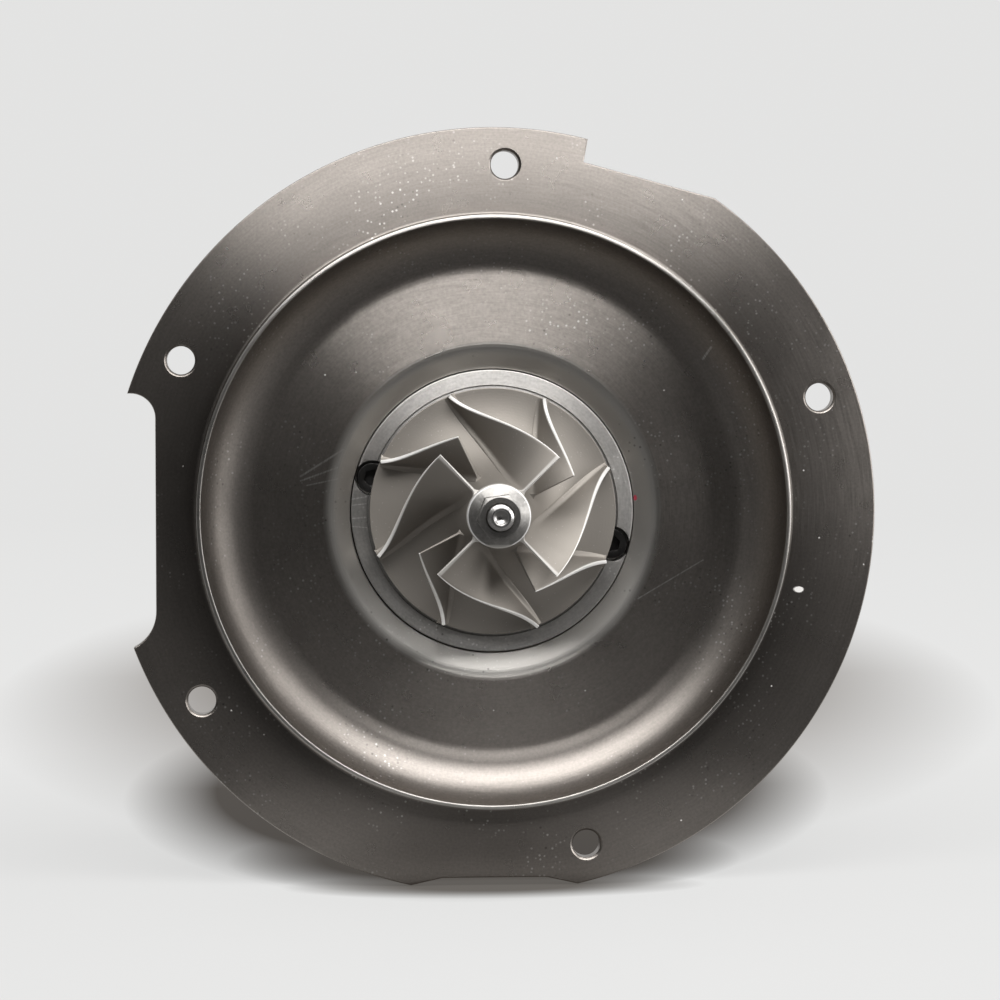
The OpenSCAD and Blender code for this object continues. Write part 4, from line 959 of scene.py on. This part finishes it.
def makeBlades(name, p, root, tip, start):
    front, back = bladeGrid(p, root, tip, start)
    rows, columns = front.shape[:2]
    points = np.vstack((front.reshape(-1, 3), back.reshape(-1, 3)))
    other = rows * columns

    def at(i, j, side):
        return side * other + i * columns + j

    faces = []
    for i in range(rows - 1):
        for j in range(columns - 1):
            for side in (0, 1):
                faces.append((at(i, j, side), at(i, j + 1, side), at(i + 1, j + 1, side), at(i + 1, j, side)))
        for j in (0, columns - 1):
            faces.append((at(i, j, 0), at(i + 1, j, 0), at(i + 1, j, 1), at(i, j, 1)))
    for j in range(columns - 1):
        for i in (0, rows - 1):
            faces.append((at(i, j, 0), at(i, j + 1, 0), at(i, j + 1, 1), at(i, j, 1)))
    return polish(newPiece(name, points, faces), p["tipT"] * bladeMesh["edgeShare"], bladeMesh["sharp"])


def makeWheel(p):
    hubArc = p["outerR"] - p["noseR"]
    corners = [(p["boreR"], p["backZ"]), (p["bossR"], p["backZ"]), (p["bossR"], p["discZ"], p["bossFillet"]),
               (p["outerR"], p["discZ"]), (p["outerR"], p["exitZ"])]
    corners += kept(arc((p["outerR"], p["hubTop"]), hubArc, 269, 180, 48))
    corners += [(p["noseR"], p["noseZ"], p["noseEdge"]), (p["boreR"], p["noseZ"])]
    piece = polish(lathe("compressorWheel", softened(corners, p["edge"]), 192))
    root = (p["outerR"], p["hubTop"], hubArc + p["sink"], hubArc + p["sink"])
    tip = (p["outerR"], p["hubTop"], p["outerR"] - p["inletR"], hubArc - p["outletB"])
    full = makeBlades("fullBlades", p, root, tip, 0.0)
    around(full, p["count"], p["start"], finishes["wheelAluminium"])
    split = makeBlades("splitters", p, root, tip, p["splitterStart"])
    around(split, p["count"], p["start"] + 180 / p["count"], finishes["wheelAluminium"])
    dress(join(piece, [full, split]), "wheelAluminium")
    fit(piece, "compressor_wheel", "rotor")


def makeTurbine(p):
    hubArc = p["discR"] - p["hubR"]
    discZ = p["backZ"] - p["discT"]
    corners = [(0, p["exitZ"], 0), (p["hubR"], p["exitZ"], p["hubEdge"])]
    corners += kept(arc((p["discR"], p["exitZ"]), hubArc, 179, 91, 40))
    corners += [(p["discR"], discZ, p["discEdge"]), (p["discR"], p["backZ"], p["discEdge"])]
    corners += [(0, p["backZ"], 0)]
    piece = lathe("turbineWheel", softened(corners, p["edge"]), 176)
    end = p["exitZ"] - p["hexLength"]
    stub = hexBar("turbineHex", p["hexFlats"], p["exitZ"] + past, end)
    top = p["exitZ"] + 2 * past
    taper = [(0, top), (p["hexFlats"], top), (p["hexFlats"], end + p["taperL"]),
             (p["hexFlats"] * p["taperShare"], end), (0, end)]
    combine(stub, [lathe("taper", taper, 96)], "INTERSECT")
    combine(piece, [stub], "UNION")
    polish(piece, p["bevel"])
    depth = p["backZ"] - p["exitZ"] - p["sink"]
    root = (p["outerR"], p["exitZ"], p["outerR"] - p["hubR"] + p["sink"], -depth)
    tip = (p["outerR"], p["exitZ"], p["outerR"] - p["exitR"], p["inletB"] - depth)
    blades = makeBlades("turbineBlades", p, root, tip, 0.0)
    around(blades, p["count"], 0.0, finishes["turbineAlloy"])
    dress(join(piece, [blades]), "turbineAlloy")
    fit(piece, "turbine_wheel", "rotor")


makeWheel(wheel)
makeTurbine(turbine)
print("wheels made")

# Nut, with a balance flat ground on its flange, and shaft, with its thread's end in the nut.
# The thread's form is (top, slope) of its groove, its end cone (drop in radius, slope).
nut = {"flangeR": 6.1, "flats": 8.0, "height": 5.0, "flangeT": 0.8, "coneH": 1.2, "balance": 5.4,
       "boreR": wheel["boreR"], "turn": 8.0, "edge": 0.15, "flangeEdge": 0.25, "bodyLap": 0.3,
       "crownLap": 0.2, "mouthR": 0.35, "mouthH": 0.4, "crownH": 2.0, "crownShare": 0.475, "bevel": 0.12}
shaft = {"stubR": 2.5, "journalR": 3.5, "waistR": 3.1, "hubR": 7.0, "threadOut": 1.8, "pitch": 0.8,
         "depth": 0.42, "centreR": 1.3, "centreD": 2.2, "collarZ": -20.15, "waistTop": -29.85,
         "waistEnd": -43.15, "hubZ": -53.65, "threadLow": 11.0, "threadLap": 0.3, "threadSides": 120,
         "threadRow": 0.04, "form": (1.15, 2.6), "endCone": (0.55, 1.2), "centreLip": 0.1, "centreDrop": 0.08,
         "edge": 0.2, "hubFillet": 0.5, "waistSlope": 0.4, "stubEdge": 0.1, "sharp": 50}


def makeNut(p):
    low = wheel["noseZ"]
    top = low + p["height"]
    cone = low + p["flangeT"]
    corners = [(p["boreR"], low), (p["flangeR"], low), (p["flangeR"], cone, p["flangeEdge"]),
               (p["flats"] / 2, cone + p["coneH"], 0), (p["boreR"], cone + p["coneH"], 0)]
    piece = lathe("compressorNut", softened(corners, p["edge"]), 128)
    body = hexBar("nutBody", p["flats"], top, low + p["bodyLap"], p["turn"])
    foot = low + p["crownLap"]
    crown = [(p["boreR"] + p["mouthR"], top), (p["boreR"], top - p["mouthH"]), (p["boreR"], foot),
             (p["flats"], foot), (p["flats"], top - p["crownH"]), (p["flats"] * p["crownShare"], top)]
    combine(body, [lathe("crown", crown, 128)], "INTERSECT")
    combine(piece, [body], "UNION")
    wide = 2 * p["flangeR"]
    block = [(-wide, -wide), (wide, -wide), (wide, -p["balance"]), (-wide, -p["balance"])]
    combine(piece, [cutSheet("balanceCut", [block], top + past, low - past, hair)], "DIFFERENCE")
    dress(polish(piece, p["bevel"]), "brightSteel")
    fit(piece, "compressor_nut", "rotor")


# The threaded end: rows of points round the shaft, closed below and at the bottom of its centre hole
def makeThread(p, end):
    sides = p["threadSides"]
    turns = np.linspace(0, 2 * math.pi, sides, endpoint=False)
    levels = np.arange(p["threadLow"] - p["threadLap"], end + 1e-6, p["threadRow"])
    wave = (levels[:, None] / p["pitch"] - turns[None, :] / (2 * math.pi)) % 1
    formTop, formSlope = p["form"]
    r = p["stubR"] - p["depth"] * np.clip(formTop - np.abs(wave - 0.5) * formSlope, 0, 1)
    coneDrop, coneSlope = p["endCone"]
    r = np.minimum(r, p["stubR"] - coneDrop + (end - levels[:, None]) * coneSlope)
    rings = [(0.0, levels[0])] + list(zip(r, levels))
    rings += [(p["centreR"] + p["centreLip"], end), (p["centreR"], end - p["centreDrop"])]
    rings += [(0.0, end - p["centreD"])]
    rows = [np.column_stack((ringR * np.cos(turns), ringR * np.sin(turns), np.full(sides, z)))
            for ringR, z in rings]
    faces = []
    for i in range(len(rows) - 1):
        for k in range(sides):
            n = (k + 1) % sides
            faces.append((i * sides + k, i * sides + n, (i + 1) * sides + n, (i + 1) * sides + k))
    return polish(newPiece("thread", np.vstack(rows), faces), 0, p["sharp"])


def makeShaft(p):
    back, slope = turbine["backZ"], p["waistSlope"]
    corners = [(0, back, 0), (p["hubR"], back), (p["hubR"], p["hubZ"]),
               (p["journalR"], p["hubZ"], p["hubFillet"]), (p["journalR"], p["waistEnd"]),
               (p["waistR"], p["waistEnd"] + slope), (p["waistR"], p["waistTop"] - slope),
               (p["journalR"], p["waistTop"]), (p["journalR"], p["collarZ"]),
               (p["stubR"], p["collarZ"], p["stubEdge"]), (p["stubR"], p["threadLow"], 0),
               (0, p["threadLow"], 0)]
    piece = polish(lathe("rotorShaft", softened(corners, p["edge"]), 96))
    thread = makeThread(p, wheel["noseZ"] + nut["height"] + p["threadOut"])
    dress(join(piece, [thread]), "groundSteel")
    fit(piece, "rotor_shaft", "rotor")


makeNut(nut)
makeShaft(shaft)
print("nut and shaft made")

# Bearing housing: a rough casting with a turned turbine end, cut and drilled on its faces.
# The bore's steps are (radius, how far back), from the front.
housing = {"flangeR": plate["bossR"], "bodyR": 24.0, "neckR": 5.0, "seatZ": plate["seatZ"],
           "flangeZ": -20.0, "feedZ": -36.5,
           "inletH": 36.0, "inletR": 9.5, "inletHoleR": 4.5, "inletD": 12.0, "inletMouth": 0.6,
           "faceHalf": 13.0, "drainH": 36.0, "neckDrainR": 10.5, "drainR": 7.0, "drainTop": 17.7,
           "padT": 9.0, "padX": 18.0, "padEndR": 7.0, "padHoleR": 2.5,
           "rearR": 33.0, "rearZ": -55.15, "rearT": 4.0, "bevel": 2.5, "pilotR": 30.0, "pilotInner": 28.0,
           "pilotH": 2.5, "noseR": 14.0, "noseZ": -61.15,
           "bore": [(14.05, -18.4), (9.5, -20.85), (5.65, -52.15), (9.5, -55.0), (7.06, -62.0)],
           "boltCircle": 36.4, "boltHoleR": 2.75, "boltAngles": (45, 135, 225, 315),
           "screwHoleR": 2.05, "screwZ": -19.65,
           "voxel": 0.7, "spare": 0.8, "rounds": 7, "smoothing": 0.5, "padEdge": 0.4, "padSpare": 2.0,
           "clear": 60.0, "edge": 0.3, "noseFillet": 0.5, "pilotFillet": 0.2, "sharp": 40}


# Stands a piece made along the shaft upright over the oil feed
def upright(piece, p):
    piece.data.transform(Matrix.Translation((0, -p["feedZ"] * mm, 0)) @ Matrix.Rotation(-math.pi / 2, 4, "X"))
    return piece


def makeCasting(p):
    spare = p["spare"]
    corners = [(0, p["seatZ"] + spare, 0), (p["flangeR"], p["seatZ"] + spare), (p["flangeR"], p["flangeZ"]),
               (p["bodyR"], p["flangeZ"], p["neckR"]), (p["bodyR"], p["rearZ"] + p["rearT"]),
               (0, p["rearZ"] + p["rearT"], 0)]
    piece = lathe("bearingHousing", softened(corners, 0))
    low = -p["drainH"] - spare
    ends = ((p["padX"], -90), (-p["padX"], 90))
    pad = [arc((x, 0), p["padEndR"], turn, turn + 180, 24) for x, turn in ends]
    grown = [drum("inletBoss", (0, 0), p["inletR"], p["inletH"] + spare, 0),
             drum("drainNeck", (0, 0), p["neckDrainR"], 0, low),
             cutSheet("drainPad", [pad[0] + pad[1]], low + spare + p["padT"], low, p["padEdge"])]
    join(piece, [upright(part, p) for part in grown])
    step = piece.modifiers.new("skin", "REMESH")
    step.mode = "VOXEL"
    step.voxel_size = p["voxel"] * mm
    step = piece.modifiers.new("cast", "SMOOTH")
    step.factor = p["smoothing"]
    step.iterations = p["rounds"]
    return settle(piece)


def turbineEnd(p):
    rear = p["rearZ"]
    back, rim = rear - p["pilotH"], rear + p["rearT"]
    corners = [(0, p["noseZ"], 0), (p["noseR"], p["noseZ"]), (p["noseR"], rear, p["noseFillet"]),
               (p["pilotInner"], rear), (p["pilotInner"], back), (p["pilotR"], back),
               (p["pilotR"], rear, p["pilotFillet"]), (p["rearR"], rear), (p["rearR"], rim),
               (p["rearR"] - p["bevel"], rim + p["bevel"]), (0, rim + p["bevel"], 0)]
    return lathe("turbineEnd", softened(corners, p["edge"]))


# Cutters along the shaft: the seat with the stepped bore, and the holes in the front flange
def shaftCuts(p):
    top, clear = p["seatZ"], p["clear"]
    bore = [(0, top + clear), (clear, top + clear), (clear, top)]
    for radius, down in p["bore"]:
        bore += [(radius, top), (radius, down)]
        top = down
    cuts = [lathe("bore", bore + [(0, top)], 128)]
    front = p["seatZ"] + past
    for angle in p["boltAngles"]:
        spot = polar(p["boltCircle"], angle)
        cuts.append(drum("boltHole", spot, p["boltHoleR"], front, p["flangeZ"] - 3 * past, 48))
    for spot in screwSpots(sealPlate):
        cuts.append(drum("screwHole", spot, p["screwHoleR"], front, p["screwZ"], 48))
    return cuts


# Cutters across the shaft: the oil inlet and its face, the drain, its pad's face and its screw holes
def oilCuts(p):
    face, clear, half = p["inletH"], p["clear"], p["faceHalf"]
    deep, mouth = face - p["inletD"], p["inletMouth"]
    holeR = p["inletHoleR"]
    inlet = [(0, deep), (holeR, deep), (holeR, face - mouth), (holeR + mouth, face), (half, face),
             (half, face + clear), (0, face + clear)]
    low = -p["drainH"]
    wide = p["padX"] + p["padEndR"] + p["padSpare"]
    block = [(-wide, -half), (wide, -half), (wide, half), (-wide, half)]
    cuts = [lathe("inlet", inlet, 96), cutSheet("padFace", [block], low, low - clear, hair),
            drum("drain", (0, 0), p["drainR"], -p["drainTop"], low - past)]
    holeTop = low + p["padT"] + p["padSpare"]
    for side in (-1, 1):
        cuts.append(drum("padHole", (side * p["padX"], 0), p["padHoleR"], holeTop, low - past, 48))
    return [upright(part, p) for part in cuts]


def makeHousing(p):
    piece = makeCasting(p)
    combine(piece, [turbineEnd(p)], "UNION")
    combine(piece, shaftCuts(p) + oilCuts(p), "DIFFERENCE")
    dress(polish(piece, 0, p["sharp"]), "castIron")
    fit(piece, "bearing_housing", "housing")


makeHousing(housing)

# Backplate bolts, behind the plate
bolt = {"circleR": housing["boltCircle"], "count": 4, "start": 45.0, "shankR": 2.5, "grip": 5.0,
        "flangeR": 5.3, "flangeT": 1.2, "flats": 8.0, "headH": 5.0, "flangeZ": housing["flangeZ"],
        "edge": 0.2, "tipEdge": 0.3, "flangeEdges": (0.1, 0.3), "coneH": 0.7, "headLap": 0.4, "crownLap": 0.2,
        "crownH": 2.0, "crownShare": 0.475, "bevel": 0.12}


def makeBolts(p):
    low = p["flangeZ"] - p["headH"]
    rim = p["flangeZ"] - p["flangeT"]
    tip, cone, crownTop = plate["seatZ"] + p["grip"], rim - p["coneH"], p["flangeZ"] - p["crownLap"]
    nearEdge, farEdge = p["flangeEdges"]
    corners = [(0, tip, 0), (p["shankR"], tip, p["tipEdge"]), (p["shankR"], p["flangeZ"], 0),
               (p["flangeR"], p["flangeZ"], nearEdge), (p["flangeR"], rim, farEdge),
               (p["flats"] / 2, cone, 0), (0, cone, 0)]
    piece = lathe("backplateBolts", softened(corners, p["edge"]), 96)
    head = hexBar("boltHead", p["flats"], p["flangeZ"] - p["headLap"], low)
    crown = [(0, crownTop), (p["flats"], crownTop), (p["flats"], low + p["crownH"]),
             (p["flats"] * p["crownShare"], low), (0, low)]
    combine(head, [lathe("headCrown", crown, 96)], "INTERSECT")
    combine(piece, [head], "UNION")
    polish(piece, p["bevel"])
    piece.data.transform(Matrix.Translation((p["circleR"] * mm, 0, 0)))
    around(piece, p["count"], p["start"], finishes["boltSteel"])
    fit(piece, "backplate_bolts", "housing")


makeBolts(bolt)

# Heat shield: one pressed sheet, bent round its cup
shield = {"rimR": 27.95, "cupR": 24.5, "boreR": 7.8, "sheet": 0.8, "rimZ": housing["rearZ"], "faceZ": -61.55,
          "bend": 1.6, "edge": 0.15}


def makeShield(p):
    t, bend = p["sheet"], p["bend"]
    corners = [(p["boreR"], p["faceZ"]), (p["boreR"], p["faceZ"] - t),
               (p["cupR"], p["faceZ"] - t, bend), (p["cupR"], p["rimZ"] - t, bend - t),
               (p["rimR"], p["rimZ"] - t), (p["rimR"], p["rimZ"]),
               (p["cupR"] - t, p["rimZ"], bend), (p["cupR"] - t, p["faceZ"], bend - t)]
    piece = polish(lathe("heatShield", softened(corners, p["edge"], 8), 192))
    dress(piece, "heatSteel")
    fit(piece, "heat_shield", "housing")


makeShield(shield)
print("bolts and shield made")

# What stays as it was built gets its finish
carried = {"sealRubber": ("seal_plate_oring", "backplate_oring"),
           "groundSteel": ("locating_dowel", "thrust_bearing_pins", "thrust_collar", "flinger_sleeve"),
           "bushBronze": ("thrust_bearing", "compressor_side_bush", "turbine_side_bush"),
           "springSteel": ("oil_deflector", "bearing_circlips", "compressor_seal_ring", "turbine_seal_ring")}
for finish, names in carried.items():
    for name in names:
        for socket in nodes[name].material_slots:
            socket.material = finishes[finish]
print("carried nodes dressed:", sum(len(names) for names in carried.values()))

bpy.context.view_layer.update()
